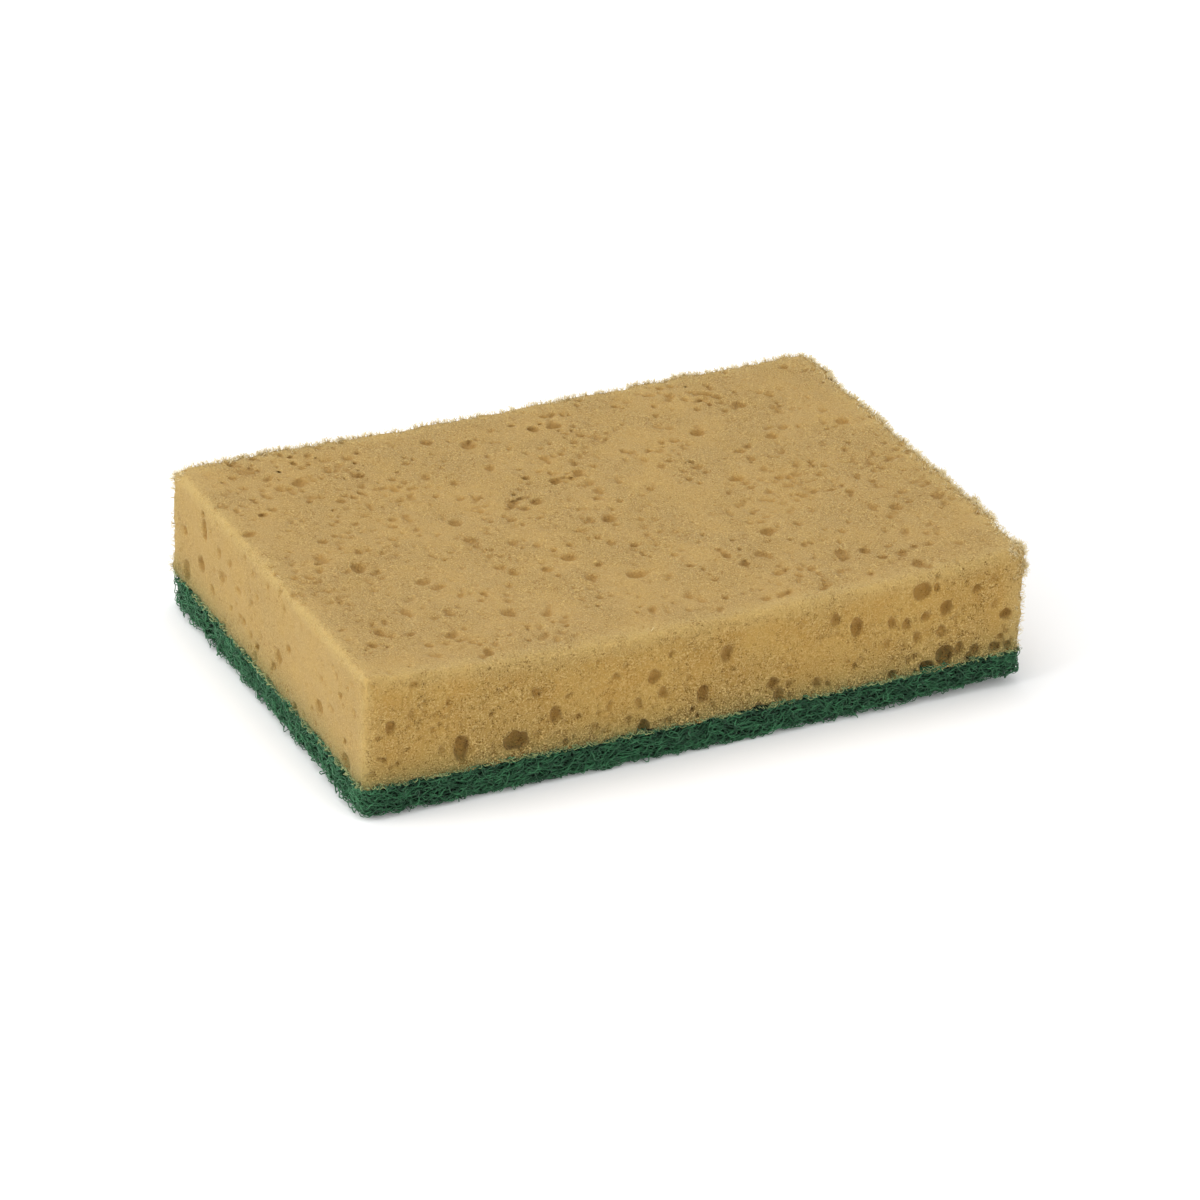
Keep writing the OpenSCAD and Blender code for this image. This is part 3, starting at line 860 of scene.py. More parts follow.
@dataclass
class FoamBlock:
    """The foam: a sagging cut block whose skin is torn open by pores. All sizes are in mm."""

    low: Vector
    high: Vector
    stance: Stance
    step: float = 0.45
    margin_steps: int = 5
    headroom: float = 2.0
    most_triangles: int = 196000
    # The block's form
    top_blend: float = 2.5
    near_corner: float = 1.1
    end_blend: float = 1.1
    waist_blend: float = 1.9
    waist: float = 0.15
    waist_power: int = 6
    # Its torn skin
    skin_depth: float = 1.8
    skin_noise: float = 0.14
    wave_noise: float = 0.3
    ragged_noise: float = 0.42
    ragged_reach: float = 2.2
    far_ragged: float = 0.55
    far_clumps: float = 0.3
    far_sunk: float = 0.1
    far_sides: Pair = (3.0, 3.0)
    far_top: Pair = (8.0, 5.0)
    seam_noise: float = 0.6
    fray_sunk: float = 0.5
    # Its pores: depths as shares of their width, then counts, and least and greatest sizes
    sunk: float = 0.12
    deepness: float = 0.6
    deep_by_rise: Pair = (1.1, 0.4)
    worn_depth: float = 0.38
    grow: float = 1.06
    warp: float = 0.42
    lip_blend: float = 0.25
    lip_reach: float = 1.2
    large_pores: tuple = ((Side.BACK, 70), (Side.RIGHT, 36))
    large_sizes: Pair = (1.1, 3.4)
    large_taller: float = 1.25
    small_pores: int = 1500
    small_sizes: Pair = (0.6, 1.2)
    small_taller: Pair = (0.9, 1.7)
    hidden_pores: tuple = ((Side.BACK, 90), (Side.RIGHT, 45))
    hidden_sizes: Pair = (0.9, 2.4)
    hidden_taller: Pair = (0.9, 1.5)
    top_pores: int = 560
    top_widths: Pair = (0.9, 1.9)
    top_lengths: Pair = (0.9, 1.8)
    # How far a pore that was drawn on a level top moves along and across, as shares of the sag
    look_shift: Pair = (0.83, 1.65)
    # Its tones: grain, painted light on the top and left faces, painted shade in the pores, a painted
    # highlight along the ridges, and the green cast by the pad with painted shade over the left end
    worn_edge: float = 0.6
    # Width over which the painted light of the top and left faces fades into the cut faces
    lit_faces_blend: float = 1.2
    worn_top: float = 0.85
    worn_left: float = 0.5
    # Painted shade in the pores: start, reach and greatest share on the top and left faces, then on the cut
    # faces, then how it lessens higher up
    top_left_pore_shade: Triple = (0.1, 0.7, 0.5)
    cut_pore_shade: Triple = (0.15, 1.1, 0.8)
    pore_shade_by_rise: Pair = (1.05, 0.5)
    # Painted highlight along the ridges: its width, wider at the back and right, narrower and fainter at the
    # left end, and where it starts
    ridge_highlight_width: float = 4.0
    far_ridge_highlight_width: float = 6.5
    left_ridge_highlight: Pair = (3.0, 0.7)
    ridge_highlight_start: float = 0.4
    cast: float = 0.95
    cast_height: float = 3.4
    # Painted shade: share of the pad's green laid over the whole left end
    left_painted_shade: float = 0.07
    seed: int = 11
    finish: FoamFinish = field(default_factory=FoamFinish)

    def __post_init__(self) -> None:
        """Work out the sizes in mm and the noises."""
        self.bottom = self.low.z / MM
        self.top = self.high.z / MM
        self.half = ((self.high.x - self.low.x) / MM / 2, (self.high.y - self.low.y) / MM / 2)
        self.tall = self.top - self.bottom
        cells = ((0, 14.0), (1, 1.5), (7, 2.3), (9, 5.5), (8, 1.6), (2, 1.3), (3, 1.3), (4, 1.3))
        noises = [SmoothNoise(self.seed + number, cell) for number, cell in cells]
        self.wave, self.fine, self.ragged, self.clumps, self.fray, *self.pull = noises

    def rise(self, z: Array) -> Array:
        """Return heights as a share of the foam's, from 0 to 1."""
        return np.clip((z - self.bottom) / self.tall, 0.0, 1.0)

    def faces(self, places: Places) -> Places:
        """Return the distances outside the ends, the long sides and the top, below zero inside.

        Args:
            places: The places.

        Returns:
            The three distances, in mm.
        """
        x, y, z = places
        drawn_in = self.waist * np.sin(np.pi * self.rise(z))
        ends, sides = (
            np.abs(out) - half + drawn_in * (1.0 - np.abs(along / other) ** self.waist_power)
            for out, half, along, other in ((x, self.half[0], y, self.half[1]),
                                            (y, self.half[1], x, self.half[0])))
        return ends - self.stance.flare_at(x, y), sides, z - self.stance.top_at(x, y)

    def outer(self, places: Places) -> Array:
        """Return the distance outside the uncut block, below zero inside.

        Args:
            places: The places.

        Returns:
            The distances in mm.
        """
        x, y, z = places
        ends, sides, over = self.faces(places)
        blend = between(self.end_blend, self.waist_blend, np.sin(np.pi * self.rise(z)))
        blend = blend + self.near_corner * ((x < 0) & (y < 0))
        return smooth_max(smooth_max(ends, sides, blend), over, self.top_blend)

    def farness(self, places: Places, lift: float = 0.0) -> Array:
        """Return how near places lie to the back and right ridges, where the cut tore most.

        Args:
            places: The places.
            lift: How much higher they are taken to be, in mm.

        Returns:
            The shares, from 0 to 1.
        """
        x, y, z = places
        beyond = np.maximum(x - self.half[0], y - self.half[1])
        by_side = np.clip(1.0 + (beyond + self.far_sides[0]) / self.far_sides[1], 0.0, 1.0)
        return by_side * np.clip((z + lift - self.top + self.far_top[0]) / self.far_top[1], 0.0, 1.0)

    def roughen(self, places: Places) -> Array:
        """Return how far the torn skin stands in from the smooth block, which is most along the ridges.

        Args:
            places: The places.

        Returns:
            The distances in mm.
        """
        order = np.sort(np.stack(self.faces(places)), axis=0)
        ridge = np.clip(1.0 + order[1] / self.ragged_reach, 0.0, 1.0)
        coarse = self.ragged.at(places)
        torn = self.far_ragged * coarse + self.far_clumps * self.clumps.at(places) + self.far_sunk
        return (self.wave_noise * self.wave.at(places) + self.skin_noise * self.fine.at(places)
                + ridge * between(self.ragged_noise * coarse, torn, self.farness(places)))

    def size_of(self, side: Side) -> Pair:
        """Return the size of a face.

        Args:
            side: The face.

        Returns:
            Its width and height, in mm.
        """
        length, width = (2 * half for half in self.half)
        if side is Side.TOP:
            return length, width
        return (length if side in (Side.FRONT, Side.BACK) else width), self.tall

    def pore(self, side: Side, along: float, up: float, wide: float, tall: float) -> Pore:
        """Return a pore on a face.

        Args:
            side: The face.
            along: Place along it, in mm.
            up: Place up it, in mm.
            wide: Width of the opening, in mm.
            tall: Height of the opening, in mm.

        Returns:
            The pore.
        """
        way_along, way_up, out = ways = side.ways
        size = np.array([self.half[0], self.half[1], 0.0])
        corner = np.array([0.0, 0.0, self.top if side is Side.TOP else self.bottom]) + out * size
        corner = corner - np.abs(way_along @ size) * way_along - np.abs(way_up @ size) * way_up
        middle = corner + along * way_along + up * way_up
        at_seam, less = self.deep_by_rise
        cut_depth = self.deepness * (at_seam - less * float(self.rise(middle[2])))
        deep = (self.worn_depth if side in (Side.TOP, Side.LEFT) else cut_depth) * min(wide, tall)
        if side is Side.LEFT:
            middle[0] -= float(self.stance.flare_at(middle[0], middle[1]))
        if side is Side.TOP:
            sag = self.top - self.stance.top_at(middle[0], middle[1])
            middle += np.array([*self.look_shift, 0.0]) * sag
            middle[2] = self.stance.top_at(middle[0], middle[1])
        middle = middle - self.sunk * deep * out
        return Pore(tuple(middle), ways, (self.grow * wide / 2, self.grow * tall / 2, deep))

    def drawn_pores(self) -> list[Pore]:
        """Return the pores of the three faces that were drawn."""
        real = (2 * self.half[0], 2 * self.half[1], self.tall)
        length, width, height = (real[k] / DRAWN[k] for k in range(3))
        faces = ((Side.FRONT, FRONT_PORES, length, height), (Side.TOP, TOP_PORES, length, width),
                 (Side.LEFT, LEFT_PORES, width, height))
        return [self.pore(side, along * wider, up * taller, wide, tall)
                for side, table, wider, taller in faces for along, up, wide, tall in table]

    def spread_pores(self, side: Side, count: int) -> list[Pore]:
        """Return large pores spread over a face by the solids' rule.

        Args:
            side: The face.
            count: Number of pores.

        Returns:
            The pores.
        """
        number = np.arange(1, count + 1)
        wide, tall = self.size_of(side)
        along = fraction(SPREAD_START + number * STEP_ALONG) * wide
        up = fraction(SPREAD_START + number * STEP_UP) * tall
        size = between(*self.large_sizes, fraction(number * STEP_SIZE) ** 2)
        return [self.pore(side, a, u, s, s * self.large_taller) for a, u, s in zip(along, up, size)]

    def strewn_pore(self, side: Side, rng: np.random.Generator, width: float | None, taller: tuple) -> Pore:
        """Return a pore anywhere on a face.

        Args:
            side: The face.
            rng: Source of its place and size.
            width: Its width in mm, or None for one of the small sizes.
            taller: Least and greatest height, as shares of its width.

        Returns:
            The pore.
        """
        wide, tall = self.size_of(side)
        along, up = rng.uniform(0, wide), rng.uniform(0, tall)
        width = rng.uniform(*self.small_sizes) if width is None else width
        return self.pore(side, along, up, width, width * rng.uniform(*taller))

    def loose_pores(self) -> list[Pore]:
        """Return the pores strewn over all faces, over the hidden ones, and in crowds over the top."""
        rng = np.random.default_rng(self.seed + 20)
        areas = [wide * tall for wide, tall in map(self.size_of, Side)]
        chosen = rng.choice(len(areas), self.small_pores, p=np.array(areas) / sum(areas))
        pores = [self.strewn_pore(list(Side)[number], rng, None, self.small_taller) for number in chosen]
        for side, count in self.hidden_pores:
            for _ in range(count):
                width = between(*self.hidden_sizes, rng.uniform(0.0, 1.0) ** 2)
                pores.append(self.strewn_pore(side, rng, width, self.hidden_taller))
        places = rng.uniform(0.0, 1.0, (3 * self.top_pores, 2)) * 2 * np.array(self.half)
        crowd = self.wave.at((*places.T, 0 * places[:, 0])) + rng.uniform(-0.5, 0.5, len(places))
        for along, up in places[np.argsort(crowd)[-self.top_pores:]]:
            width, length = rng.uniform(*self.top_widths), rng.uniform(*self.top_lengths)
            pores.append(self.pore(Side.TOP, along, up, width, length))
        return pores

    def carve(self, grid: Grid, pore: Pore) -> None:
        """Cut one pore out of the block.

        Args:
            grid: The block's field.
            pore: The pore.
        """
        found = grid.window(pore.middle, max(pore.halves) + self.lip_reach)
        if found is None:
            return
        where, axes = found
        full = np.broadcast_arrays(*axes)
        moved = [full[k] + self.warp * self.pull[k].at(full) - pore.middle[k] for k in range(3)]
        local = [sum(pore.ways[k][j] * moved[j] for j in range(3)) / pore.halves[k] for k in range(3)]
        distance = (np.sqrt(sum(v * v for v in local)) - 1.0) * min(pore.halves)
        grid.values[where] = smooth_max(grid.values[where], -distance, self.lip_blend)

    def build(self) -> Piece:
        """Return the foam's finished mesh."""
        margin = self.margin_steps * self.step
        low = np.array([-self.half[0] - margin, -self.half[1] - margin, self.bottom - margin])
        high = np.array([self.half[0] + margin, self.half[1] + margin, self.top + self.headroom + margin])
        grid = Grid(low, high, self.step)
        x, y, z = axes = np.ix_(*grid.axes)
        grid.values = self.outer(axes).astype(np.float32)
        shell = np.nonzero(np.abs(grid.values) < self.skin_depth)
        grid.values[shell] += self.roughen([axis[part] for axis, part in zip(grid.axes, shell)])
        fray = self.fray.at(np.broadcast_arrays(x, y, 0 * x))
        frayed = self.stance.seam_at(x, y) + self.seam_noise * (fray - self.fray_sunk)
        grid.values = np.maximum(grid.values, (frayed - z).astype(np.float32))
        pores = self.drawn_pores()
        for side, count in self.large_pores:
            pores += self.spread_pores(side, count)
        pores += self.loose_pores()
        for pore in pores:
            self.carve(grid, pore)
        piece = make_mesh("foam_block", *grid.skin())
        thin_out(piece, self.most_triangles)
        LOG.info("foam_block: %d pores, %d faces", len(pores), len(piece.data.polygons))
        return piece

    def tones(self, places: Places) -> dict[str, Array]:
        """Return the numbers that the finish reads, by name.

        Args:
            places: Places on the skin.

        Returns:
            One number a place for each name.
        """
        x, y, z = places
        depth = -self.outer(places) - self.roughen(places)
        ends, sides, under = inward = -np.stack(self.faces(places))
        next_face = inward[1:].min(axis=0)
        grain = np.where(under < inward[:2].min(axis=0) + self.worn_edge, self.worn_top, 1.0)
        grain = np.where((x < 0) & (ends < next_face + self.worn_edge), self.worn_left, grain)
        cut = np.minimum(sides, np.where(x > 0, ends, np.inf))
        # Distance inside the top and left faces, which take the painted light
        lit_faces = np.minimum(under, np.where(x < 0, ends, np.inf))
        # Painted shade inside the pores, more where they are deeper, and less higher up the cut faces
        top_left_shade, cut_shade = (np.clip((depth - start) / reach, 0.0, most)
                           for start, reach, most in (self.top_left_pore_shade, self.cut_pore_shade))
        cut_shade = cut_shade * (self.pore_shade_by_rise[0] - self.pore_shade_by_rise[1] * self.rise(z))
        # Painted highlight along the ridges, wider at the back and right
        band = between(self.ridge_highlight_width, self.far_ridge_highlight_width, self.farness(places, RIDGE_LIFT))
        band = band * np.where((x < 0) & (ends < self.left_ridge_highlight[0]), self.left_ridge_highlight[1], 1.0)
        second = np.sort(inward, axis=0)[1]
        above = np.maximum(z - self.stance.seam_at(x, y), 0.0)
        ridge = np.clip(1.0 - (second - self.ridge_highlight_start) / band, 0.0, 1.0)
        return {
            "grain": grain,
            # Painted light: the share of the top and left faces
            "lit_faces": np.clip((cut - lit_faces) / self.lit_faces_blend, 0.0, 1.0),
            # Painted shade in the pores
            "pore_shade": np.where(lit_faces < cut, top_left_shade, cut_shade),
            # Painted highlight along the ridges, none inside the pores
            "ridge": ridge * np.clip(1.0 - depth, 0.0, 1.0),
            # The green cast by the pad, and painted shade over the left end
            "cast": np.maximum(self.cast * np.exp(-above / self.cast_height),
                               self.left_painted_shade * ((x < 0) & (ends < next_face))),
        }

    def dress(self, piece: Piece) -> None:
        """Give the foam its tones and finish.

        Args:
            piece: The foam's mesh.
        """
        places = tuple((rows_of(piece.data.vertices, "co") / MM).T)
        for name, values in self.tones(places).items():
            write_tone(piece, name, values)
        piece.data.materials.clear()
        piece.data.materials.append(self.finish.material())
        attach(piece, "root")
        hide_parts("sponge_block")


@dataclass
class TornCells:
    """The fringe of torn cell struts that stands up from the foam's skin. All sizes are in mm."""

    foam: FoamBlock
    count: int = 9000
    points: int = 4
    sides: int = 3
    radius: float = 0.05
    thicker: Pair = (0.7, 1.4)
    taper: Pair = (1.1, 0.6)
    lengths: Pair = (0.2, 1.2)
    heights: Pair = (0.1, 1.25)
    height_power: float = 1.3
    arches: Pair = (0.35, 0.95)
    root_depth: float = 0.12
    skin_reach: float = 0.9
    bare_above_seam: float = 1.0
    ridge_power: int = 7
    on_faces: float = 0.0005
    on_near_ridges: float = 0.0004
    far_from: float = 0.6
    far_shares: Pair = (0.3, 0.7)
    seed: int = 41
    finish: TornFinish = field(default_factory=TornFinish)

    def weights(self, skin: Piece, places: Places) -> Array:
        """Return how likely a strut is at each point of the skin.

        Args:
            skin: The foam's mesh.
            places: Its points, in mm.

        Returns:
            The weights, greatest along the back and right ridges.
        """
        ridge = np.zeros(len(places[0]), np.float32)
        skin.data.attributes["ridge"].data.foreach_get("value", ridge)
        on_skin = (np.abs(-self.foam.outer(places)) < self.skin_reach)
        on_skin &= places[2] > self.foam.bottom + self.bare_above_seam
        far = (self.far_shares[0] * (self.foam.farness(places, RIDGE_LIFT) > self.far_from)
               + self.far_shares[1] * (self.foam.farness(places) > self.far_from))
        by_ridge = self.on_faces + ridge.astype(float) ** self.ridge_power
        return on_skin * by_ridge * np.maximum(far, self.on_near_ridges)

    def build(self, skin: Piece) -> Piece:
        """Return the struts, rooted in the foam's skin.

        Args:
            skin: The foam's mesh.

        Returns:
            The fringe.
        """
        rng = np.random.default_rng(self.seed)
        places = rows_of(skin.data.vertices, "co") / MM
        weight = self.weights(skin, tuple(places.T))
        chosen = rng.choice(len(places), self.count, p=weight / weight.sum())
        roots, out = places[chosen], rows_of(skin.data.vertex_normals, "vector")[chosen]
        away = rng.normal(size=(self.count, 3))
        away -= out * np.sum(away * out, axis=1, keepdims=True)
        away /= np.linalg.norm(away, axis=1, keepdims=True)
        length = rng.uniform(*self.lengths, self.count)
        height = self.heights[0] + self.heights[1] * rng.uniform(0.0, 1.0, self.count) ** self.height_power
        t = np.linspace(0.0, 1.0, self.points)[None, :, None]
        arch = np.sin(np.pi * t * rng.uniform(*self.arches, (self.count, 1, 1)))
        roots, out, away = (rows[:, None, :] for rows in (roots, out, away))
        paths = (roots - self.root_depth * out + length[:, None, None] * t * away
                 + height[:, None, None] * arch * out)
        taper = self.taper[0] - self.taper[1] * t[..., 0]
        radii = self.radius * rng.uniform(*self.thicker, (self.count, 1)) * taper
        piece = make_mesh("torn_cells", *sweep_tubes(paths, radii, self.sides))
        LOG.info("torn_cells: %d struts", self.count)
        return piece

    def dress(self, piece: Piece) -> None:
        """Give the struts their finish.

        Args:
            piece: The fringe.
        """
        piece.data.materials.append(self.finish.material())
        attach(piece, "root")


@dataclass(frozen=True)
class FibreLayer:
    """One layer of curly fibres: how many, how thick, how long and where they lie, in mm."""

    name: str
    count: int
    radius: Pair
    length: Pair
    inset: Pair
    slope: float
    curl: float
    points: int = 22


@dataclass
class ScouringPad:
    """The pad: a matted middle, coloured dark as painted shade between the fibres, wrapped in curly fibres at
    its sides and underside. Sizes are in mm.
    """

    low: Vector
    high: Vector
    stance: Stance
    # The matted middle
    core_step: float = 0.8
    core_inset: float = 1.2
    core_blend: float = 3.0
    core_ends: Pair = (0.7, 0.1)
    core_noise: float = 0.55
    core_skin: float = 2.0
    core_triangles: int = 30000
    # The fibres: roundings of the corners, waves, and how far they wander
    corners: Quad = (1.8, 1.4, 2.4, 3.2)
    least_corner: float = 0.2
    sides: int = 3
    wave_lengths: Pair = (3.4, 9.0)
    drift: float = 0.5
    lowest: Pair = (0.25, 0.25)
    over_seam: float = 0.75
    seam_band: Pair = (0.4, 0.7)
    seam_hem: float = 0.5
    weave: float = 0.3
    weave_lengths: Pair = (3.0, 9.0)
    ends_in: float = 1.4
    ends_power: int = 8
    outer_depth: float = 1.6
    under_waves: Pair = (1.0, 3.5)
    under_turn: float = 2.2
    under_edge: float = 0.5
    under_weave: Pair = (0.25, 3)
    under_clear: float = 0.02
    under_depth: float = 1.3
    # Their shades: each fibre's own at random, painted shade that darkens fibres deeper in the pad, and
    # painted light at the left end
    own_power: float = 1.6
    own_share: float = 0.75
    # Painted shade: fibres deeper in the pad darker
    depth_shade_share: float = 0.35
    darker: float = 0.1
    # Painted light: fibres at the left end paler, and how far in from the end that reaches
    left_painted_light: float = 0.66
    left_depth: float = 2.0
    seed: int = 71
    backing: BackingFinish = field(default_factory=BackingFinish)
    fibre: FibreFinish = field(default_factory=FibreFinish)
    seam_fibre: FibreFinish = FibreFinish(
        deep=linear(96, 124, 76), pale=linear(170, 178, 120), grit=linear(70, 90, 54))
    side_layers: tuple = (
        FibreLayer("deep_fibres", 2700, (0.13, 0.21), (4.0, 11.0), (0.4, 1.4), 0.15, 0.3, 12),
        FibreLayer("near_fibres", 3200, (0.06, 0.14), (2.0, 6.0), (-0.5, 0.45), 0.35, 0.8, 10),
        FibreLayer("stray_fibres", 140, (0.1, 0.16), (3.0, 6.0), (-1.2, -0.4), 0.5, 2.2, 12),
    )
    seam_layer: FibreLayer = FibreLayer(
        "seam_fibres", 1300, (0.05, 0.1), (0.6, 2.2), (-0.7, -0.1), 0.5, 0.7, 5)
    under_layer: FibreLayer = FibreLayer(
        "under_fibres", 1400, (0.13, 0.22), (12.0, 28.0), (0.15, 1.1), 3.2, 0.8)

    def __post_init__(self) -> None:
        """Work out the sizes in mm and the noises."""
        self.thick = (self.high.z - self.low.z) / MM
        self.half = np.array([(self.high.x - self.low.x) / MM / 2, (self.high.y - self.low.y) / MM / 2])
        self.rough = SmoothNoise(self.seed, 1.6)
        self.hem = SmoothNoise(self.seed + 9, 3.0)

    def outline(self, travel: Array, inset: Array) -> Array:
        """Return points on the pad's rounded outline.

        Args:
            travel: Distance round the outline from the front left corner, in mm.
            inset: How far inside the outline each point lies, in mm.

        Returns:
            Places along and across, in mm, with one more axis than travel.
        """
        length, width = 2 * self.half
        s = np.mod(travel, 2 * (length + width))
        starts = np.array([0.0, length, length + width, 2 * length + width])
        leg = np.searchsorted(starts, s, side="right") - 1
        corners = np.array([[-1, -1], [1, -1], [1, 1], [-1, 1]], float) * self.half
        ways = np.array([[1, 0], [0, 1], [-1, 0], [0, -1]], float)
        outs = np.array([[0, -1], [1, 0], [0, 1], [-1, 0]], float)
        run = s - starts[leg]
        at = corners[leg] + ways[leg] * run[..., None] - outs[leg] * inset[..., None]
        right, back = at[..., 0] > 0, at[..., 1] > 0
        corner = np.array(self.corners)[np.where(right, np.where(back, 2, 1), np.where(back, 3, 0))]
        inner = self.half - corner[..., None]
        beyond = np.abs(at) - inner
        size = np.linalg.norm(np.maximum(beyond, LEAST_ROOM), axis=-1)
        reach = np.maximum(corner - inset, self.least_corner)
        pulled = np.sign(at) * (inner + np.maximum(beyond, 0) * (np.minimum(size, reach) / size)[..., None])
        return np.where((beyond > 0).all(axis=-1)[..., None], pulled, at)

    def build_core(self) -> Piece:
        """Return the matted middle."""
        size = np.array([self.half[0], self.half[1], 0.0]) + 2 * self.core_step
        grid = Grid(-size, size + np.array([0, 0, self.thick]), self.core_step)
        full = x, y, z = np.broadcast_arrays(*np.ix_(*grid.axes))
        wall = smooth_max(np.abs(x) - self.half[0] + self.core_inset,
                          np.abs(y) - self.half[1] + self.core_inset, self.core_blend)
        body = np.maximum(np.maximum(wall, z - self.thick + self.core_ends[1]), self.core_ends[0] - z)
        shell = np.nonzero(np.abs(body) < self.core_skin)
        grid.values = body.astype(np.float32)
        grid.values[shell] += self.core_noise * self.rough.at([f[shell] for f in full])
        vertices, quads = grid.skin()
        piece = make_mesh("matted_web", self.stance.settle(vertices), quads)
        thin_out(piece, self.core_triangles)
        piece.data.materials.append(self.backing.material())
        return piece

    def build_sides(self, layer: FibreLayer) -> Piece:
        """Return a layer of fibres that run round the pad's sides.

        Args:
            layer: The layer's sizes.

        Returns:
            The fibres as one mesh.
        """
        rng = np.random.default_rng(self.seed + layer.count + len(layer.name))
        one_each = (layer.count, 1)
        t = np.linspace(0.0, 1.0, layer.points)[None, :]
        length = rng.uniform(*layer.length, one_each)
        waves = length / rng.uniform(*self.wave_lengths, one_each)
        heading = (rng.normal(0.0, layer.slope, one_each) + layer.curl * ripple(t * waves, rng)
                   + rng.normal(0.0, self.drift, one_each) * t)
        step = length / (layer.points - 1)
        travel = rng.uniform(0.0, 4 * self.half.sum(), one_each) + np.cumsum(np.cos(heading) * step, axis=1)
        z = rng.uniform(0.0, self.thick, one_each) + np.cumsum(np.sin(heading) * step, axis=1)
        radii = rng.uniform(*layer.radius, one_each) * np.ones_like(t)
        hem = self.hem.at((travel, 0 * travel, 0 * travel))
        lowest = radii + self.lowest[0] + self.lowest[1] * hem
        highest = self.thick + self.over_seam * (0.5 + hem)
        if layer is self.seam_layer:
            lowest = self.thick - self.seam_band[0]
            highest = self.thick + self.seam_band[1] + self.seam_hem * hem
        z = fold(z, lowest, highest)
        inset = (rng.uniform(*layer.inset, one_each)
                 + self.weave * ripple(t * length / rng.uniform(*self.weave_lengths, one_each), rng))
        inset += self.ends_in * np.abs(2 * t - 1) ** self.ends_power
        paths = np.concatenate([self.outline(travel, inset), z[..., None]], axis=-1)
        # How far out each point lies, for the painted shade deeper in the pad
        nearness = 1.0 - np.clip(inset / self.outer_depth, 0.0, 1.0)
        return self.finish_fibres(layer.name, paths, radii, rng, nearness)

    def build_underside(self) -> Piece:
        """Return the fibres that curl over the resting face."""
        layer = self.under_layer
        rng = np.random.default_rng(self.seed + 2)
        one_each = (layer.count, 1)
        t = np.linspace(0.0, 1.0, layer.points)[None, :]
        length = rng.uniform(*layer.length, one_each)
        waves = rng.uniform(*self.under_waves, one_each)
        heading = (rng.uniform(-layer.slope, layer.slope, one_each)
                   + rng.uniform(-self.under_turn, self.under_turn, one_each) * t
                   + layer.curl * ripple(t * waves, rng))
        step = length / (layer.points - 1)
        room = self.half - self.under_edge
        start = [rng.uniform(-1, 1, one_each) * self.half[k] for k in range(2)]
        x, y = (fold(start[k] + np.cumsum(turned * step, axis=1), -room[k], room[k])
                for k, turned in enumerate((np.cos(heading), np.sin(heading))))
        radii = rng.uniform(*layer.radius, one_each) * np.ones_like(t)
        weave, turns = self.under_weave
        z = rng.uniform(*layer.inset, one_each) + weave * ripple(np.broadcast_to(turns * t, x.shape), rng)
        z = np.clip(z, radii + self.under_clear, self.under_depth)
        # How far out each point lies, for the painted shade deeper in the pad
        nearness = 1.0 - np.clip(z / self.under_depth, 0.0, 1.0)
        return self.finish_fibres(layer.name, np.stack([x, y, z], axis=-1), radii, rng, nearness)

    def finish_fibres(self, name: str, paths: Array, radii: Array, rng: np.random.Generator,
                      nearness: Array) -> Piece:
        """Sweep fibres and store each one's shade, with painted shade deeper in the pad and painted light at
        the left end.

        Args:
            name: Name of the piece.
            paths: Points in mm, shaped fibre, point, coordinate.
            radii: Radius at each point, in mm.
            rng: Source of the shades.
            nearness: How far out each point lies, from 0 to 1.

        Returns:
            The fibres as one mesh.
        """
        piece = make_mesh(name, *sweep_tubes(self.stance.settle(paths), radii, self.sides))
        own = rng.uniform(0.0, 1.0, (len(paths), 1)) ** self.own_power
        # Painted light: fibres at the left end paler
        lit = self.left_painted_light * (paths[..., 0] < self.left_depth - self.half[0])
        # Each fibre's own shade, with painted shade deeper in the pad and painted light at the left end
        shade = np.clip(own * self.own_share + self.depth_shade_share * nearness - self.darker + lit, 0.0, 1.0)
        write_tone(piece, "strand", np.repeat(shade.reshape(-1), self.sides))
        finish = self.seam_fibre if name == self.seam_layer.name else self.fibre
        piece.data.materials.append(finish.material(name + "_nylon"))
        LOG.info("%s: %d fibres, %d faces", name, len(paths), len(piece.data.polygons))
        return piece

    def build(self) -> None:
        """Build the pad's pieces and place them on the frame."""
        core = self.build_core()
        pieces = [core, self.build_underside()]
        pieces += [self.build_sides(layer) for layer in (*self.side_layers, self.seam_layer)]
        for piece in pieces:
            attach(piece, "root")
        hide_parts("scouring_pad")


@dataclass(frozen=True)
class Softbox:
    """One soft studio light, aimed at the sponge. Sizes are in metres."""

    name: str
    place: Triple
    size: float
    power: float

    def build(self, target: Vector) -> None:
        """Add the light.

        Args:
            target: The point that it faces.
        """
        lamp = bpy.data.lights.new(self.name, "AREA")
        lamp.shape = "SQUARE"
        lamp.size = self.size
        lamp.energy = self.power
        holder = bpy.data.objects.new(self.name, lamp)
        holder.location = self.place
        holder.rotation_euler = (target - Vector(self.place)).to_track_quat("-Z", "Y").to_euler()
        bpy.context.scene.collection.objects.link(holder)


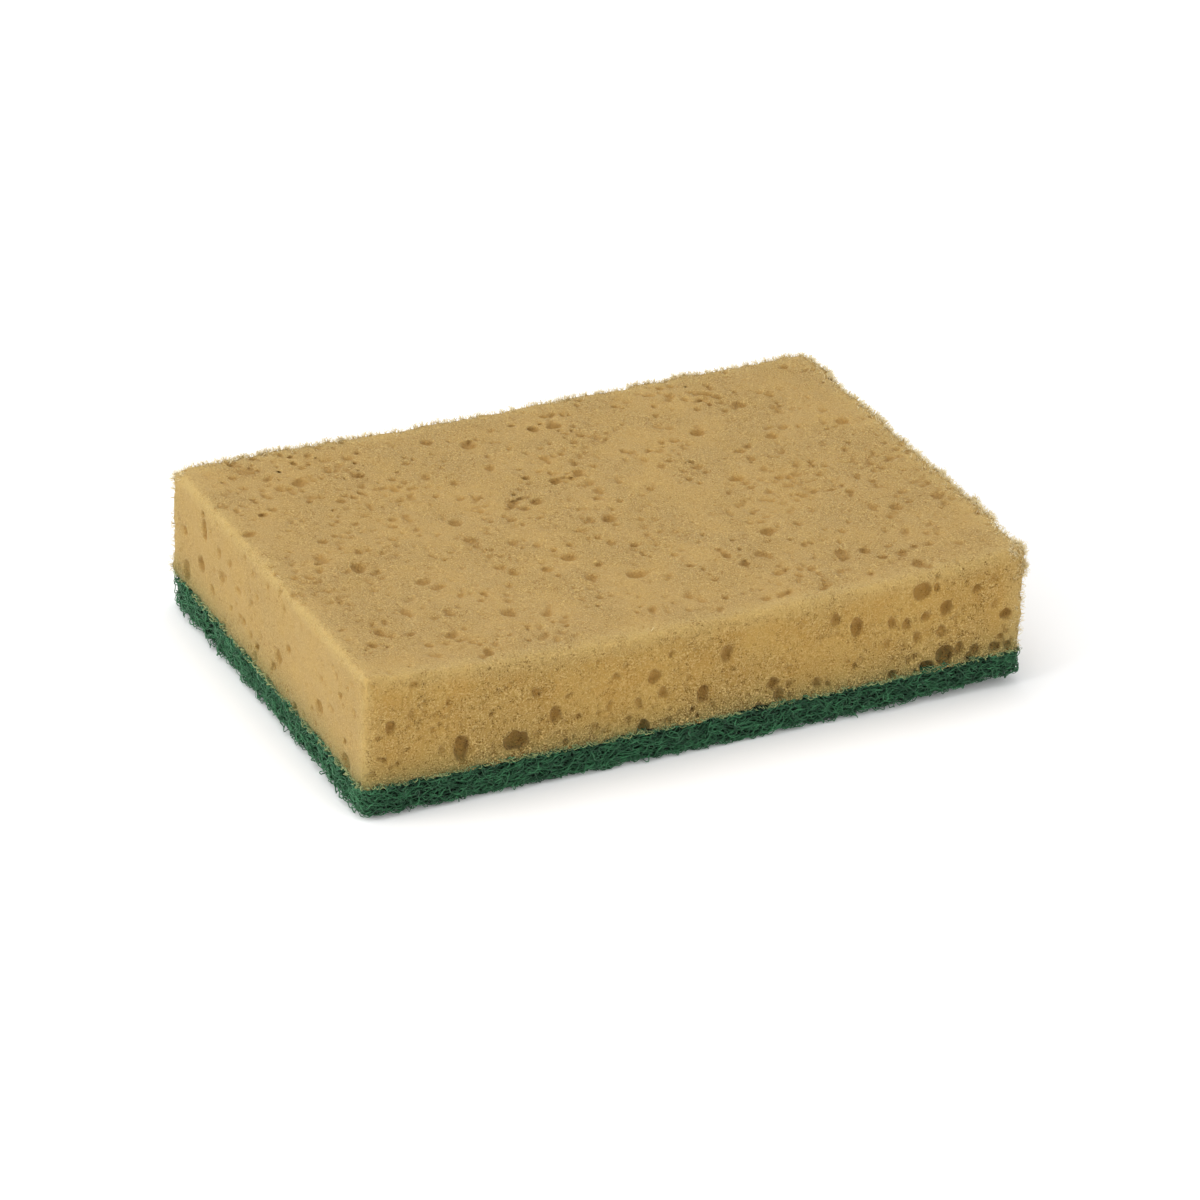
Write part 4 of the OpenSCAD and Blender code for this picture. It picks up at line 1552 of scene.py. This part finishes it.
@dataclass
class Studio:
    """Pale floor, soft lights and the camera at the photograph's viewing angle.

    The camera's distance and slides are shares of the sponge's length, and its angles are in degrees.
    """

    length: float
    height: float
    azimuth: float = -26.55
    elevation: float = 28.43
    roll: float = 1.965
    lens: float = 165.85
    sensor: float = 36.0
    nearest: float = 0.05
    distance: float = 7.7625
    slide_right: float = -0.0061
    slide_up: float = 0.0357
    floor_size: float = 12.0
    floor_colours: tuple = ((0.92, 0.92, 0.92, 1.0), (0.93, 0.93, 0.93, 1.0))
    floor_noise: tuple = (40.0, 2.0)
    floor_span: tuple = (0.3, 0.7)
    world_colour: tuple = (1.0, 1.0, 1.0, 1.0)
    world_light: float = 0.85
    lights: tuple = (
        Softbox("key_left", (-0.95, 0.05, 0.55), 0.7, 6.2),
        Softbox("top_box", (-0.15, 0.25, 1.2), 1.0, 4.5),
        Softbox("front_fill", (0.35, -1.2, 0.6), 0.8, 5.0),
    )

    def build_floor(self) -> None:
        """Add the floor."""
        edge = self.floor_size / 2
        corners = [(-edge, -edge, 0.0), (edge, -edge, 0.0), (edge, edge, 0.0), (-edge, edge, 0.0)]
        mesh = bpy.data.meshes.new("floor")
        mesh.from_pydata(corners, [], [(0, 1, 2, 3)])
        floor = bpy.data.objects.new("floor", mesh)
        bpy.context.scene.collection.objects.link(floor)
        shade = Shade("floor_white")
        grain = shade.span(shade.noise(*self.floor_noise), *self.floor_span)
        colour = shade.blend(grain, *self.floor_colours)
        mesh.materials.append(shade.paint(colour, Roughness=0.9, Specular_IOR_Level=0.1))

    def build_world(self) -> None:
        """Light the room evenly with white."""
        world = bpy.data.worlds.new("studio_room")
        world.use_nodes = True
        ground = world.node_tree.nodes["Background"]
        ground.inputs["Color"].default_value = self.world_colour
        ground.inputs["Strength"].default_value = self.world_light
        bpy.context.scene.world = world
        bpy.context.scene.view_settings.view_transform = "Standard"

    def build_camera(self) -> None:
        """Add the camera."""
        turn, rise, tilt = (math.radians(v) for v in (self.azimuth, self.elevation, self.roll))
        back = Vector((math.sin(turn) * math.cos(rise), -math.cos(turn) * math.cos(rise), math.sin(rise)))
        right = Vector((math.cos(turn), math.sin(turn), 0.0))
        up = back.cross(right)
        right_rolled = math.cos(tilt) * right + math.sin(tilt) * up
        up_rolled = math.cos(tilt) * up - math.sin(tilt) * right
        place = (Vector((0.0, 0.0, self.height / 2)) + self.distance * self.length * back
                 - self.slide_right * self.length * right_rolled - self.slide_up * self.length * up_rolled)
        lens = bpy.data.cameras.new("photo_camera")
        lens.lens = self.lens
        lens.sensor_width = self.sensor
        lens.sensor_fit = "HORIZONTAL"
        lens.clip_start = self.nearest
        camera = bpy.data.objects.new("photo_camera", lens)
        rotation = Matrix((right_rolled, up_rolled, back)).transposed().to_4x4()
        camera.matrix_world = Matrix.Translation(place) @ rotation
        bpy.context.scene.collection.objects.link(camera)
        bpy.context.scene.camera = camera

    def build(self) -> None:
        """Add the whole studio."""
        self.build_camera()
        self.build_floor()
        self.build_world()
        for light in self.lights:
            light.build(Vector((0.0, 0.0, self.height / 2)))
        LOG.info("studio: camera, floor and %d lights", len(self.lights))


def main() -> None:
    """Dress the sponge and set up its studio."""
    logging.basicConfig(level=logging.INFO, format="%(name)s: %(message)s")
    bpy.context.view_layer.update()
    low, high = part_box("sponge_block")
    pad_low, pad_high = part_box("scouring_pad")
    Studio(length=pad_high.x - pad_low.x, height=high.z - pad_low.z).build()
    half = ((high.x - low.x) / MM / 2, (high.y - low.y) / MM / 2)
    stance = Stance(half, high.z / MM, pad_high.z / MM)
    foam = FoamBlock(low, high, stance)
    block = foam.build()
    foam.dress(block)
    fringe = TornCells(foam)
    fringe.dress(fringe.build(block))
    ScouringPad(pad_low, pad_high, stance).build()


if __name__ == "__main__":
    main()
